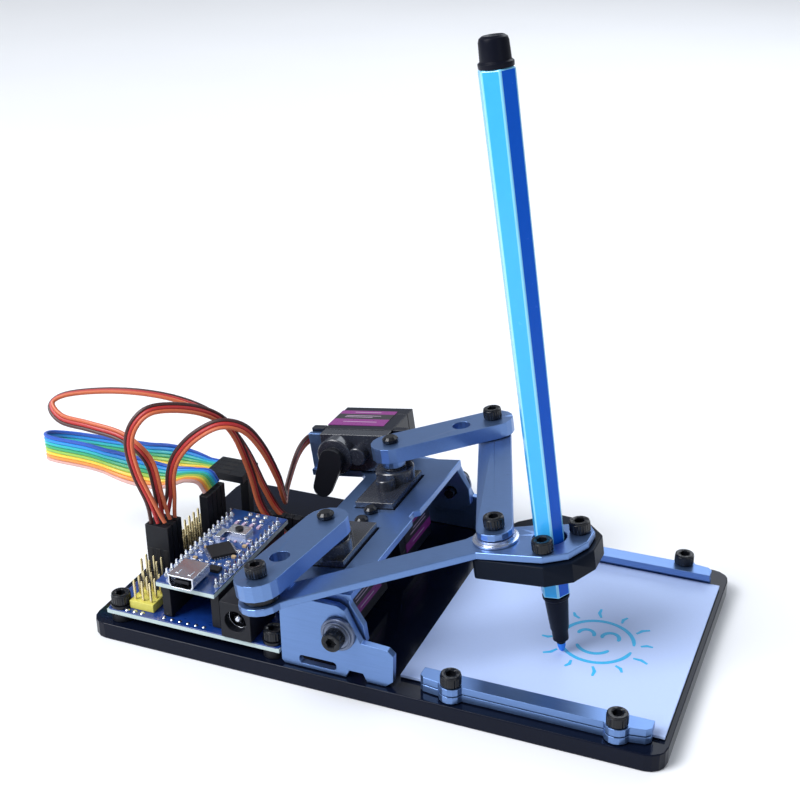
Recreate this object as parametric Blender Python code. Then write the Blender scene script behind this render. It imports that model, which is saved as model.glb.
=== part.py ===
"""Desktop drawing robot: a five-bar arm on a tilting frame that moves a felt pen over a card.

Run with: blender --background --python part.py

Every dimension below is in millimetres, and MM turns it into the scene's metres.
+X runs along the base towards the card, +Y away from the control board's sockets, +Z up.
The origin is the centre of the base plate's underside.
"""

import math

import bmesh
import bpy
from mathutils import Matrix, Vector, geometry

MM = 0.001
GAP = 0.3  # clearance kept between pieces that touch

# Base plate and the bed for the card
BASE_LENGTH, BASE_WIDTH, BASE_THICKNESS, BASE_CORNER = 162.0, 90.0, 5.0, 5.0
SCREW_SHANK, SCREW_HEAD, HEAD_HEIGHT = 1.5, 2.75, 3.0  # M3 socket-head screw radii and height
SCREW_HOLE = 1.8
CARD_X, CARD_Y, CARD_THICKNESS = (10.5, 79.5), (-38.1, 34.9), 0.8
RAIL_X, RAIL_LAYER = (17.0, 76.7), 2.0
RAIL_INNER_NEAR, RAIL_INNER_FAR, RAIL_WIDTH = -37.2, 33.4, 6.0
RAIL_SCREW_X = (25.7, 68.4)

# Tilting frame: its axis, how far it leans at rest, and the linkage heights above its axis
AXIS_X, AXIS_Z, TILT = -4.2, 18.6, math.radians(8.0)
PLATE_BOTTOM, PLATE_TOP = 8.0, 10.0
PLATE_RIGHT, PLATE_LEFT = 3.8, -22.0
FLANGE_OUTER, SHEET = 40.7, 2.0
SIDE_PLATE_OUTER = 43.3
SHAFT_U, SHAFT_NEAR_Y, SHAFT_FAR_Y = -10.1, -22.0, 23.0
CRANK_LENGTH, LINK_LENGTH = 32.0, 62.0
CRANK_NEAR_ANGLE, CRANK_FAR_ANGLE = math.radians(-97.2), math.radians(37.6)
LINK_BOTTOM, LINK_TOP = 13.0, 15.0
NEAR_CRANK_BOTTOM, FAR_CRANK_BOTTOM, CRANK_THICKNESS = 17.0, 18.9, 4.5
CRANK_RADIUS = 6.0

# Micro servo
SERVO_LENGTH, SERVO_WIDTH, SERVO_HEIGHT = 22.8, 12.2, 21.0
EAR_REACH, EAR_THICKNESS, EAR_FROM_TOP = 4.7, 2.5, 4.1
BOSS_RADIUS, BOSS_HEIGHT, SHAFT_FROM_END = 5.9, 4.0, 5.9

# Pen
PEN_U, PEN_Y = 48.7, -13.2
PEN_TIP_W, PEN_TOP_W = -18.95, 141.0
NOSE_W, BARREL_BOTTOM_W, BARREL_TOP_W = -15.4, -1.2, 133.8
PEN_BOTTOM_RADIUS, PEN_TOP_RADIUS = 4.0, 4.7

# Control electronics
SHIELD_X, SHIELD_Y, SHIELD_Z = (-75.5, -22.1), (-43.2, 12.0), (7.5, 9.1)
BOARD_X, BOARD_Y, BOARD_Z = (-58.5, -40.7), (-43.3, -0.1), (20.1, 21.7)
PIN_ROW_OFFSET, PIN_PITCH = 7.62, 2.54
WIRE_RADIUS = 1.3


def clear_scene():
    for obj in list(bpy.data.objects):
        bpy.data.objects.remove(obj, do_unlink=True)


def material(name, colour, roughness, metallic=0.0):
    made = bpy.data.materials.get(name)
    if made is None:
        made = bpy.data.materials.new(name)
        made.use_nodes = True
        shader = made.node_tree.nodes["Principled BSDF"]
        shader.inputs["Base Color"].default_value = (*colour, 1.0)
        shader.inputs["Roughness"].default_value = roughness
        shader.inputs["Metallic"].default_value = metallic
        made.diffuse_color = (*colour, 1.0)
    return made


MATERIALS = {
    "acrylic": ((0.012, 0.016, 0.03), 0.15, 0.0),
    "aluminium": ((0.42, 0.52, 0.72), 0.35, 1.0),
    "steel": ((0.6, 0.62, 0.66), 0.3, 1.0),
    "black_steel": ((0.03, 0.03, 0.035), 0.35, 0.6),
    "blue_board": ((0.02, 0.08, 0.42), 0.35, 0.0),
    "black_plastic": ((0.02, 0.02, 0.025), 0.45, 0.0),
    "servo_case": ((0.03, 0.03, 0.04), 0.4, 0.0),
    "yellow_plastic": ((0.85, 0.72, 0.2), 0.45, 0.0),
    "red_lead": ((0.5, 0.12, 0.08), 0.5, 0.0),
    "ribbon": ((0.2, 0.5, 0.6), 0.5, 0.0),
    "pen_blue": ((0.05, 0.35, 0.85), 0.25, 0.0),
    "pen_black": ((0.02, 0.02, 0.025), 0.35, 0.0),
    "white_card": ((0.85, 0.86, 0.9), 0.6, 0.0),
}


def finish_object(mesh_tool, name, slot, parent=None, smooth=True):
    """Turns a bmesh in millimetres into a named object in metres, with its normals facing out."""
    bmesh.ops.scale(mesh_tool, vec=(MM, MM, MM), verts=mesh_tool.verts)
    bmesh.ops.recalc_face_normals(mesh_tool, faces=mesh_tool.faces)
    mesh = bpy.data.meshes.new(name)
    mesh_tool.to_mesh(mesh)
    mesh_tool.free()
    if smooth:
        mesh.shade_smooth()
        mesh.set_sharp_from_angle(angle=math.radians(35))
    obj = bpy.data.objects.new(name, mesh)
    bpy.context.scene.collection.objects.link(obj)
    colour, roughness, metallic = MATERIALS[slot]
    mesh.materials.append(material(slot, colour, roughness, metallic))
    if parent is not None:
        obj.parent = parent
    return obj


def circle(cx, cy, radius, steps=20, start=0.0):
    turn = 2 * math.pi / steps
    return [
        (cx + radius * math.cos(start + i * turn), cy + radius * math.sin(start + i * turn))
        for i in range(steps)
    ]


def rounded_rectangle(x0, x1, y0, y1, radius, steps=4):
    points = []
    corners = ((x1 - radius, y0 + radius, -90), (x1 - radius, y1 - radius, 0),
               (x0 + radius, y1 - radius, 90), (x0 + radius, y0 + radius, 180))
    for cx, cy, first in corners:
        for i in range(steps + 1):
            angle = math.radians(first + 90 * i / steps)
            points.append((cx + radius * math.cos(angle), cy + radius * math.sin(angle)))
    return points


def bar_outline(start, end, radius, steps=8, end_radius=None):
    """The outline of a bar with round ends centred on two points."""
    end_radius = radius if end_radius is None else end_radius
    (x0, y0), (x1, y1) = start, end
    heading = math.atan2(y1 - y0, x1 - x0)
    lean = math.asin((radius - end_radius) / math.hypot(x1 - x0, y1 - y0))
    points = []
    for cx, cy, r, first, last in (
        (x1, y1, end_radius, -90 + math.degrees(lean), 90 - math.degrees(lean)),
        (x0, y0, radius, 90 - math.degrees(lean), 270 + math.degrees(lean)),
    ):
        for i in range(steps + 1):
            angle = heading + math.radians(first + (last - first) * i / steps)
            points.append((cx + r * math.cos(angle), cy + r * math.sin(angle)))
    return points


def add_slab(mesh_tool, outline, holes, low, high, place=Matrix.Identity(4)):
    """Adds a flat slab between two heights, with an outline and holes, to a bmesh."""
    bottom_edges = []
    before = set(mesh_tool.faces)
    for loop in [outline, *holes]:
        verts = [mesh_tool.verts.new((x, y, low)) for x, y in loop]
        bottom_edges += [mesh_tool.edges.new((a, b)) for a, b in zip(verts, verts[1:] + verts[:1])]
    bmesh.ops.triangle_fill(mesh_tool, use_beauty=True, use_dissolve=False, edges=bottom_edges)
    faces = [face for face in mesh_tool.faces if face not in before]
    raised = bmesh.ops.extrude_face_region(mesh_tool, geom=faces)
    top = [item for item in raised["geom"] if isinstance(item, bmesh.types.BMVert)]
    bmesh.ops.translate(mesh_tool, verts=top, vec=(0, 0, high - low))
    made = {vert for face in mesh_tool.faces if face not in before for vert in face.verts}
    bmesh.ops.transform(mesh_tool, matrix=place, verts=list(made))


def slab(name, slot, outline, holes, low, high, parent=None, place=Matrix.Identity(4)):
    mesh_tool = bmesh.new()
    add_slab(mesh_tool, outline, holes, low, high, place)
    return finish_object(mesh_tool, name, slot, parent)


def block_outline(x0, x1, y0, y1):
    return [(x0, y0), (x1, y0), (x1, y1), (x0, y1)]


def block(name, slot, x, y, z, parent=None):
    return slab(name, slot, block_outline(*x, *y), [], z[0], z[1], parent)


def turned(name, slot, profile, place=Matrix.Identity(4), parent=None, steps=20):
    """A solid of revolution: the profile is a list of (radius, height), closed onto the axis."""
    mesh_tool = bmesh.new()
    rings = []
    for radius, height in profile:
        rings.append([
            mesh_tool.verts.new((
                radius * math.cos(2 * math.pi * i / steps),
                radius * math.sin(2 * math.pi * i / steps),
                height,
            ))
            for i in range(steps)
        ])
    for lower, upper in zip(rings, rings[1:]):
        for i in range(steps):
            j = (i + 1) % steps
            mesh_tool.faces.new((lower[i], lower[j], upper[j], upper[i]))
    mesh_tool.faces.new(rings[0])
    mesh_tool.faces.new(rings[-1])
    bmesh.ops.transform(mesh_tool, matrix=place, verts=mesh_tool.verts)
    return finish_object(mesh_tool, name, slot, parent)


def hidden_cutter(obj):
    obj.hide_render = True
    obj.display_type = "WIRE"
    return obj


def combine(target, other, operation):
    """Joins another closed shape onto the target, or cuts it away, with a Boolean modifier."""
    modifier = target.modifiers.new(other.name, "BOOLEAN")
    modifier.operation = operation
    modifier.solver = "EXACT"
    modifier.object = hidden_cutter(other)


def along_y(x, y, z):
    """Turns a piece's own +Z to point along -Y, with its origin at the given point."""
    return Matrix.Translation((x, y, z)) @ Matrix.Rotation(math.radians(90), 4, "X")


def socket_screw(name, x, y, head_bottom, shank_bottom, parent=None, place=None, collars=()):
    """A socket-head screw with a shallow hexagon recess; collars are (radius, low, high) on its shank."""
    profile = [(SCREW_SHANK, shank_bottom)]
    for radius, low, high in collars:
        profile += [(SCREW_SHANK, low), (radius, low), (radius, high), (SCREW_SHANK, high)]
    top = head_bottom + HEAD_HEIGHT
    profile += [(SCREW_SHANK, head_bottom), (SCREW_HEAD, head_bottom), (SCREW_HEAD, top - 0.3),
                (SCREW_HEAD - 0.3, top), (1.45, top), (1.25, top - 1.6)]
    where = Matrix.Translation((x, y, 0)) if place is None else place
    return turned(name, "black_steel", profile, where, parent, steps=18)


def smooth_path(points, steps=4):
    """Points on a smooth curve through the given ones, closer together than the route's own."""
    vectors = [Vector(point) for point in points]
    ends = [2 * vectors[0] - vectors[1], *vectors, 2 * vectors[-1] - vectors[-2]]
    path = []
    for a, b, c, d in zip(ends, ends[1:], ends[2:], ends[3:]):
        for i in range(steps):
            t = i / steps
            path.append(0.5 * (2 * b + (c - a) * t + (2 * a - 5 * b + 4 * c - d) * t**2
                               + (3 * b - a - 3 * c + d) * t**3))
    return [*path, vectors[-1]]


def cord(name, slot, route, radius, steps):
    """A round cord as a curve with filled caps, along a smooth curve through its route."""
    curve = bpy.data.curves.new(name, "CURVE")
    curve.dimensions = "3D"
    curve.bevel_depth = radius * MM
    curve.bevel_resolution = 2
    curve.use_fill_caps = True
    points = smooth_path(route, steps)
    spline = curve.splines.new("POLY")
    spline.points.add(len(points) - 1)
    for point, place in zip(spline.points, points):
        point.co = (*(place * MM), 1.0)
    colour, roughness, metallic = MATERIALS[slot]
    curve.materials.append(material(slot, colour, roughness, metallic))
    obj = bpy.data.objects.new(name, curve)
    bpy.context.scene.collection.objects.link(obj)
    return obj


# ---- Base, side plates, card and rails -------------------------------------------------------


def shield_posts():
    inset = 2.9
    return [(x, y) for x in (SHIELD_X[0] + inset, SHIELD_X[1] - inset)
            for y in (SHIELD_Y[0] + inset, SHIELD_Y[1] - inset)]


def rail_screws():
    near = RAIL_INNER_NEAR - RAIL_WIDTH + 1.6
    far = RAIL_INNER_FAR + RAIL_WIDTH - 1.6
    return [(x, y) for y in (near, far) for x in RAIL_SCREW_X]


def build_base():
    half_length, half_width = BASE_LENGTH / 2, BASE_WIDTH / 2
    outline = rounded_rectangle(-half_length, half_length, -half_width, half_width, BASE_CORNER)
    holes = [circle(x, y, SCREW_HOLE, 12) for x, y in shield_posts() + rail_screws()]
    slab("base_plate", "acrylic", outline, holes, 0.0, BASE_THICKNESS)


def side_plate_outline(notched):
    """The side plate seen from the near side, in X and Z, with a foot towards the card."""
    low = BASE_THICKNESS + GAP
    notch = [(-2.6, low), (-1.6, low + 2.2), (2.2, low + 2.2), (3.2, low)] if notched else []
    return [(-20.5, low), (-5.0, low), *notch, (8.6, low), (10.6, low + 1.8), (10.8, low + 9.6), (9.2, low + 11.0), (1.8, low + 11.4),
            (-0.4, low + 15.6), (-2.6, low + 20.2), (-4.6, low + 21.2), (-18.2, low + 21.2),
            (-21.2, low + 18.2), (-21.2, low + 0.8)]


def build_side_plates():
    for side, name in ((-1, "near"), (1, "far")):
        bore = circle(AXIS_X, AXIS_Z, 4.2, 20)
        slot_hole = rounded_rectangle(-16.0, -5.4, 6.4, 8.8, 0.8, 2)
        outer = SIDE_PLATE_OUTER if side < 0 else -SIDE_PLATE_OUTER + SHEET
        place = along_y(0, -outer + SHEET, 0)
        holes = [bore, slot_hole] if side < 0 else [bore]
        slab(f"side_plate_{name}", "aluminium", side_plate_outline(side < 0), holes,
             0.0, SHEET, place=place)


def build_pivots():
    """Flanged bearings in the side plates, with the shoulder screws that carry the frame."""
    for side, name in ((-1, "near"), (1, "far")):
        face = Matrix.Rotation(0 if side < 0 else math.pi, 4, "Z")
        where = Matrix.Translation((AXIS_X, side * SIDE_PLATE_OUTER, AXIS_Z)) @ face
        where = where @ Matrix.Rotation(math.radians(90), 4, "X")
        mesh_tool = bmesh.new()
        ring = [(2.0, -1.9), (3.9, -1.9), (3.9, GAP), (4.7, GAP), (4.7, 1.3), (4.0, 1.3),
                (4.0, 2.0), (2.0, 2.0)]
        add_ring(mesh_tool, ring, 20)
        bmesh.ops.transform(mesh_tool, matrix=where, verts=mesh_tool.verts)
        finish_object(mesh_tool, f"pivot_bearing_{name}", "steel")
        socket_screw(f"pivot_screw_{name}", 0, 0, 2.3, -6.6, place=where)


def add_ring(mesh_tool, profile, steps):
    """A closed profile of (radius, height) turned about the axis, leaving a hole."""
    rings = [[mesh_tool.verts.new((radius * math.cos(2 * math.pi * i / steps),
                                   radius * math.sin(2 * math.pi * i / steps), height))
              for i in range(steps)] for radius, height in profile]
    for lower, upper in zip(rings, rings[1:] + rings[:1]):
        for i in range(steps):
            j = (i + 1) % steps
            mesh_tool.faces.new((lower[i], lower[j], upper[j], upper[i]))


def rail_outline(inner, outwards, setback):
    """A strip with chamfered ends and a round boss around each screw on its outer edge."""
    x0, x1 = RAIL_X
    inner_y = inner + outwards * setback
    main_y = inner + outwards * (RAIL_WIDTH - 1.6)
    points = [(x0, inner_y), (x1, inner_y), (x1, main_y - outwards * 1.2), (x1 - 1.2, main_y)]
    boss_radius = 3.4
    centre_y = inner + outwards * (RAIL_WIDTH - 1.6)
    for x in reversed(RAIL_SCREW_X):
        for i in range(7):
            angle = math.radians(20 + 140 * i / 6)
            points.append((x + boss_radius * math.cos(angle),
                           centre_y + outwards * (boss_radius * math.sin(angle) - 0.6)))
    points += [(x0 + 1.2, main_y), (x0, main_y - outwards * 1.2)]
    return points if outwards > 0 else points[::-1]


def build_rails():
    layers = (("lower", 1.0, 0.0), ("upper", 0.0, RAIL_LAYER + GAP))
    for inner, outwards, name in ((RAIL_INNER_NEAR, -1, "near"), (RAIL_INNER_FAR, 1, "far")):
        screw_y = inner + outwards * (RAIL_WIDTH - 1.6)
        for layer, setback, lift in layers:
            low = BASE_THICKNESS + GAP + lift
            holes = [circle(x, screw_y, SCREW_HOLE, 12) for x in RAIL_SCREW_X]
            # The lower strips stop short of the card's edges, which lie under the upper strips.
            edge = setback * (1.3 if outwards < 0 else 1.9)
            slab(f"card_rail_{name}_{layer}", "aluminium",
                 rail_outline(inner, outwards, edge), holes, low, low + RAIL_LAYER)
    head = BASE_THICKNESS + 2 * (RAIL_LAYER + GAP) + GAP
    for number, (x, y) in enumerate(rail_screws(), 1):
        socket_screw(f"rail_screw_{number}", x, y, head, 0.8)
    low = BASE_THICKNESS + GAP
    block("drawing_card", "white_card", CARD_X, CARD_Y, (low, low + CARD_THICKNESS))


# ---- Control electronics ---------------------------------------------------------------------


def pin_field(name, columns, rows, low, high):
    """Square header pins in one helper mesh, to be joined onto their plastic block."""
    half = 0.32
    mesh_tool = bmesh.new()
    for x in columns:
        for y in rows:
            add_slab(mesh_tool, block_outline(x - half, x + half, y - half, y + half), [], low, high)
    return finish_object(mesh_tool, name, "steel", smooth=False)


def build_electronics():
    corner_holes = [circle(x, y, SCREW_HOLE, 12) for x, y in shield_posts()]
    outline = rounded_rectangle(*SHIELD_X, *SHIELD_Y, 1.0, 2)
    slab("shield_board", "blue_board", outline, corner_holes, *SHIELD_Z)
    for number, (x, y) in enumerate(shield_posts(), 1):
        spacer = (3.0, BASE_THICKNESS + GAP, SHIELD_Z[0] - GAP)
        socket_screw(f"shield_screw_{number}", x, y, SHIELD_Z[1] + 1.1, 0.8, collars=[spacer])
    on_shield = SHIELD_Z[1] + GAP
    centre = (BOARD_X[0] + BOARD_X[1]) / 2
    for side, name in ((-1, "left"), (1, "right")):
        x = centre + side * PIN_ROW_OFFSET
        block(f"header_{name}", "black_plastic", (x - 1.27, x + 1.27), (-41.0, -2.4),
              (on_shield, BOARD_Z[0] - GAP))
    block("controller_board", "blue_board", BOARD_X, BOARD_Y, BOARD_Z)
    block("usb_socket", "steel", (centre - 3.85, centre + 3.85), (-45.0, -36.0),
          (BOARD_Z[1] + GAP, BOARD_Z[1] + 4.2))
    jack = block("dc_jack", "black_plastic", (-38.8, -29.8), (-44.0, -30.0),
                 (on_shield, on_shield + 11.0))
    socket = turned("jack_socket_cutter", "black_plastic", [(3.2, -9.5), (3.2, 2.0)],
                    along_y(-34.3, -44.0, 14.9))
    combine(jack, socket, "DIFFERENCE")
    yellow = block("voltage_header", "yellow_plastic", (-69.5, -61.9), (-41.0, -33.4),
                   (on_shield, on_shield + 2.5))
    columns = [-65.7 + PIN_PITCH * k for k in (-1, 0, 1)]
    combine(yellow, pin_field("voltage_pins", columns, [-39.7, -37.2, -34.7],
                              on_shield + 1.0, on_shield + 9.0), "UNION")
    servo_columns = [-70.0 + PIN_PITCH * k for k in (-1, 0, 1)]
    header = block("servo_header", "black_plastic", (-73.9, -66.1), (-30.8, 3.7),
                   (on_shield, on_shield + 2.5))
    bare_rows = [-29.2, -26.7, *[-13.0 + PIN_PITCH * k for k in range(7)]]
    combine(header, pin_field("servo_pins", servo_columns, bare_rows,
                              on_shield + 1.0, on_shield + 9.0), "UNION")
    for number in range(3):
        y = -22.95 + 2.6 * number
        block(f"servo_plug_{number + 1}", "black_plastic", (-73.8, -66.2), (y - 1.15, y + 1.15),
              (on_shield + 2.8, 26.0))
    block("ribbon_plug_near", "black_plastic", (-64.7, -61.6), (-9.0, 1.0), (on_shield, 29.4))
    plug = block("ribbon_plug_far", "black_plastic", (-70.2, -57.8), (5.0, 15.0), (27.4, 30.0))
    riser = block("riser_arm", "black_plastic", (-61.0, -58.2), (8.6, 11.4), (on_shield, 28.0))
    combine(plug, riser, "UNION")


# ---- Cords -----------------------------------------------------------------------------------

NEAR_LEAD = [(-70, -22.9, 26.4), (-72, -23, 33), (-76, -22.5, 41), (-78.5, -21, 49), (-77, -19, 55),
             (-73, -15.5, 58.3), (-66, -8, 56.5), (-60.5, -2, 52), (-57.5, 2, 45), (-54, 3.5, 33),
             (-51, 3.5, 22), (-45, 4.2, 14), (-35, 1, 12.2), (-26.5, -8, 11.2),
             (-23.6, -11.4, 10.6), (-20.6, -12, 10.4)]
FAR_LEAD = [(-70, -20.3, 26.4), (-71.5, -19.3, 34.5), (-75, -17.5, 43), (-83.5, -16.5, 48.2),
            (-95.5, -15.5, 49.2), (-106, -14, 49.2), (-111.5, -11, 51.6), (-108.3, -8, 54.1),
            (-97.6, -4, 55.4), (-86, -1, 55.4), (-75.5, 2, 53.5), (-67.5, 5, 49.5), (-62, 7.5, 43.5),
            (-57.5, 9, 35.5), (-53, 9.5, 25), (-48, 10, 17), (-40, 11.5, 13.4), (-30, 15.5, 12.2),
            (-24, 19.4, 10.9), (-20.6, 20, 10.4)]
LIFT_LEAD = [(-70, -17.7, 26.4), (-69.5, -16, 32), (-69.8, -14.5, 38), (-67.7, -13.5, 44),
             (-63, -11, 49.6), (-56.5, -8, 53.2), (-51, -4, 51), (-47.6, 0, 43.5), (-45.5, 4, 33),
             (-46, 8, 25), (-48, 13, 20.5), (-50, 18, 21.5), (-50.5, 24, 26.5), (-51.8, 31, 28),
             (-51.6, 36.5, 29), (-49.4, 40.2, 29.3), (-45.8, 41, 29.4)]
RIBBON = [(-70.6, 10, 28.7), (-77, 10.2, 28.6), (-86, 10.4, 28.4), (-97, 10.4, 28), (-111, 9.5, 28), (-120.5, 7.5, 28.6),
          (-125, 4, 29.6), (-124, 0, 30.6), (-118.5, -2.5, 31.5), (-105, -3.6, 32), (-91, -4, 30.6),
          (-79, -4.2, 30.4), (-70, -4, 32.6), (-65.4, -4, 32.8), (-63.2, -4, 29.9)]
RIBBON_WIDTH, RIBBON_THICKNESS = 8.9, 1.2


def ribbon_across(x, index, count):
    """Which way the ribbon's width points: upright on its loop and level at each plug."""
    first, length = (-92.0, 18.0) if index < count / 2 else (-100.0, 30.0)
    turned_by = min(1.0, max(0.0, (x - first) / length))
    angle = turned_by * math.pi / 2
    return Vector((0, math.sin(angle), math.cos(angle)))


def build_ribbon():
    path = smooth_path(RIBBON, 4)
    mesh_tool = bmesh.new()
    rings = []
    for index, point in enumerate(path):
        ahead = path[min(index + 1, len(path) - 1)] - path[max(index - 1, 0)]
        across = ribbon_across(point.x, index, len(path))
        across = (across - across.project(ahead)).normalized() * (RIBBON_WIDTH / 2)
        out = across.cross(ahead).normalized() * (RIBBON_THICKNESS / 2)
        corners = (across + out, out - across, -across - out, across - out)
        rings.append([mesh_tool.verts.new(point + corner) for corner in corners])
    for lower, upper in zip(rings, rings[1:]):
        for i in range(4):
            j = (i + 1) % 4
            mesh_tool.faces.new((lower[i], lower[j], upper[j], upper[i]))
    mesh_tool.faces.new(rings[0])
    mesh_tool.faces.new(rings[-1])
    finish_object(mesh_tool, "ribbon_cable", "ribbon")


def build_cords():
    cord("servo_lead_near", "red_lead", NEAR_LEAD, WIRE_RADIUS, 4)
    cord("servo_lead_far", "red_lead", FAR_LEAD, WIRE_RADIUS, 3)
    cord("servo_lead_lift", "red_lead", LIFT_LEAD, WIRE_RADIUS, 4)
    build_ribbon()


# ---- Tilting frame: U runs along X, W is the height above the tilt axis -----------------------


def tilt_empty():
    empty = bpy.data.objects.new("tilt_axis", None)
    empty.location = (AXIS_X * MM, 0.0, AXIS_Z * MM)
    empty.rotation_euler = (0.0, -TILT, 0.0)
    bpy.context.scene.collection.objects.link(empty)
    return empty


def build_tilt_frame(axis):
    servo_half = SERVO_WIDTH / 2 + GAP
    near = (SHAFT_NEAR_Y - SHAFT_FROM_END - GAP, SHAFT_NEAR_Y - SHAFT_FROM_END + SERVO_LENGTH + GAP)
    far = (SHAFT_FAR_Y + SHAFT_FROM_END - SERVO_LENGTH - GAP, SHAFT_FAR_Y + SHAFT_FROM_END + GAP)
    windows = [block_outline(SHAFT_U - servo_half, SHAFT_U + servo_half, *rows)
               for rows in (near, far)]
    ear_holes = [circle(SHAFT_U, y, 1.2, 10) for y in ear_screw_rows()]
    outline = [(PLATE_LEFT, -FLANGE_OUTER), (PLATE_RIGHT, -FLANGE_OUTER), (PLATE_RIGHT, 1.0),
               (PLATE_RIGHT - 1.4, 2.4), (PLATE_RIGHT - 1.4, 5.6), (PLATE_RIGHT, 7.0),
               (PLATE_RIGHT, FLANGE_OUTER), (-42.0, FLANGE_OUTER), (-42.0, 29.6),
               (PLATE_LEFT - 3.0, 29.6), (PLATE_LEFT, 26.2)]
    frame = slab("tilt_frame", "aluminium", outline, windows + ear_holes,
                 PLATE_BOTTOM, PLATE_TOP, axis)
    flange_outline = [(-15.0, 9.0), (-15.0, 4.0), (-7.0, -5.4), (-4.0, -6.4), (3.0, -6.4),
                      (6.0, -4.0), (6.0, 1.0), (3.2, 7.0), (3.2, 9.0)]
    for side, name in ((-1, "near"), (1, "far")):
        outer = side * FLANGE_OUTER
        place = along_y(0, max(outer, outer - side * SHEET), 0)
        flange = slab(f"flange_{name}", "aluminium", flange_outline, [circle(0, 0, SCREW_HOLE, 12)],
                      0.0, SHEET, axis, place)
        combine(frame, flange, "UNION")
    lift_tab = [(-42.0, 9.0), (-37.4, 9.0), (-37.4, 21.5), (-42.0, 21.5)]
    tab = slab("lift_tab", "aluminium", lift_tab, [], 0.0, 1.7, axis, along_y(0, 32.9, 0))
    combine(frame, tab, "UNION")


def ear_screw_rows():
    near_far_end = SHAFT_NEAR_Y - SHAFT_FROM_END + SERVO_LENGTH + 2.4
    far_near_end = SHAFT_FAR_Y + SHAFT_FROM_END - SERVO_LENGTH - 2.4
    return near_far_end, far_near_end


def servo(name, place, flip, axis):
    """A micro servo whose own origin is on its shaft axis, at the height of its case top."""
    reach = (-SHAFT_FROM_END, SERVO_LENGTH - SHAFT_FROM_END)
    along = tuple(sorted(flip * end for end in reach))
    half = SERVO_WIDTH / 2
    mesh_tool = bmesh.new()
    add_slab(mesh_tool, block_outline(-half, half, *along), [], -SERVO_HEIGHT, 0.0, place)
    case = finish_object(mesh_tool, name, "servo_case", axis)
    ear_top = -EAR_FROM_TOP
    mesh_tool = bmesh.new()
    slots = []
    for end, outwards in ((along[0], -1), (along[1], 1)):
        slots.append(circle(0, end + outwards * 2.4, 1.1, 10))
    add_slab(mesh_tool, block_outline(-half, half, along[0] - EAR_REACH, along[1] + EAR_REACH),
             slots, ear_top - EAR_THICKNESS, ear_top, place)
    combine(case, finish_object(mesh_tool, f"{name}_ears", "servo_case", axis), "UNION")
    boss = [(BOSS_RADIUS, -1.0), (BOSS_RADIUS, BOSS_HEIGHT - 0.4), (BOSS_RADIUS - 0.4, BOSS_HEIGHT)]
    combine(case, turned(f"{name}_boss", "servo_case", boss, place, axis), "UNION")
    return case


def build_servos(axis):
    top = PLATE_BOTTOM - GAP + EAR_FROM_TOP
    servo("servo_near", Matrix.Translation((SHAFT_U, SHAFT_NEAR_Y, top)), 1, axis)
    servo("servo_far", Matrix.Translation((SHAFT_U, SHAFT_FAR_Y, top)), -1, axis)
    for number, y in enumerate(ear_screw_rows(), 1):
        profile = [(0.9, 5.0), (0.9, PLATE_TOP + GAP), (2.0, PLATE_TOP + GAP),
                   (2.0, PLATE_TOP + 1.2), (1.3, PLATE_TOP + 1.9)]
        turned(f"ear_screw_{number}", "black_steel", profile, Matrix.Translation((SHAFT_U, y, 0)),
               axis, steps=14)
    # The lift servo lies on the frame with its shaft towards -Y and its long side along U.
    lie = lift_shaft_place() @ Matrix.Rotation(math.radians(-90), 4, "Z")
    servo("servo_lift", lie, 1, axis)


LIFT_SHAFT_U, LIFT_SHAFT_W, LIFT_FRONT_Y = -31.1, PLATE_TOP + GAP + SERVO_WIDTH / 2, 29.2


def lift_shaft_place():
    turn = Matrix.Rotation(math.radians(90), 4, "X")
    return Matrix.Translation((LIFT_SHAFT_U, LIFT_FRONT_Y, LIFT_SHAFT_W)) @ turn


def build_lift_horn(axis):
    """The short horn on the lift servo's shaft, below the servo."""
    swing = math.radians(-108.0) - TILT
    length = 10.5
    tip = (LIFT_SHAFT_U + length * math.cos(swing), LIFT_SHAFT_W + length * math.sin(swing))
    outline = bar_outline((LIFT_SHAFT_U, LIFT_SHAFT_W), tip, 3.8, end_radius=3.0)
    place = along_y(0, LIFT_FRONT_Y - BOSS_HEIGHT - GAP, 0)
    slab("lift_horn", "black_plastic", outline, [], 0.0, 2.2, axis, place)


# ---- Five-bar linkage ------------------------------------------------------------------------


def polar(origin, angle, distance):
    return (origin[0] + distance * math.cos(angle), origin[1] + distance * math.sin(angle))


SHAFT_NEAR, SHAFT_FAR = (SHAFT_U, SHAFT_NEAR_Y), (SHAFT_U, SHAFT_FAR_Y)
ELBOW_NEAR = polar(SHAFT_NEAR, CRANK_NEAR_ANGLE, CRANK_LENGTH)
ELBOW_FAR = polar(SHAFT_FAR, CRANK_FAR_ANGLE, CRANK_LENGTH)


def wrist_point():
    """Where the two links meet: the crossing of their circles on the card's side."""
    near, far = Vector(ELBOW_NEAR), Vector(ELBOW_FAR)
    crossings = geometry.intersect_sphere_sphere_2d(near, LINK_LENGTH, far, LINK_LENGTH)
    return tuple(max(crossings, key=lambda point: point.x))


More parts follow.
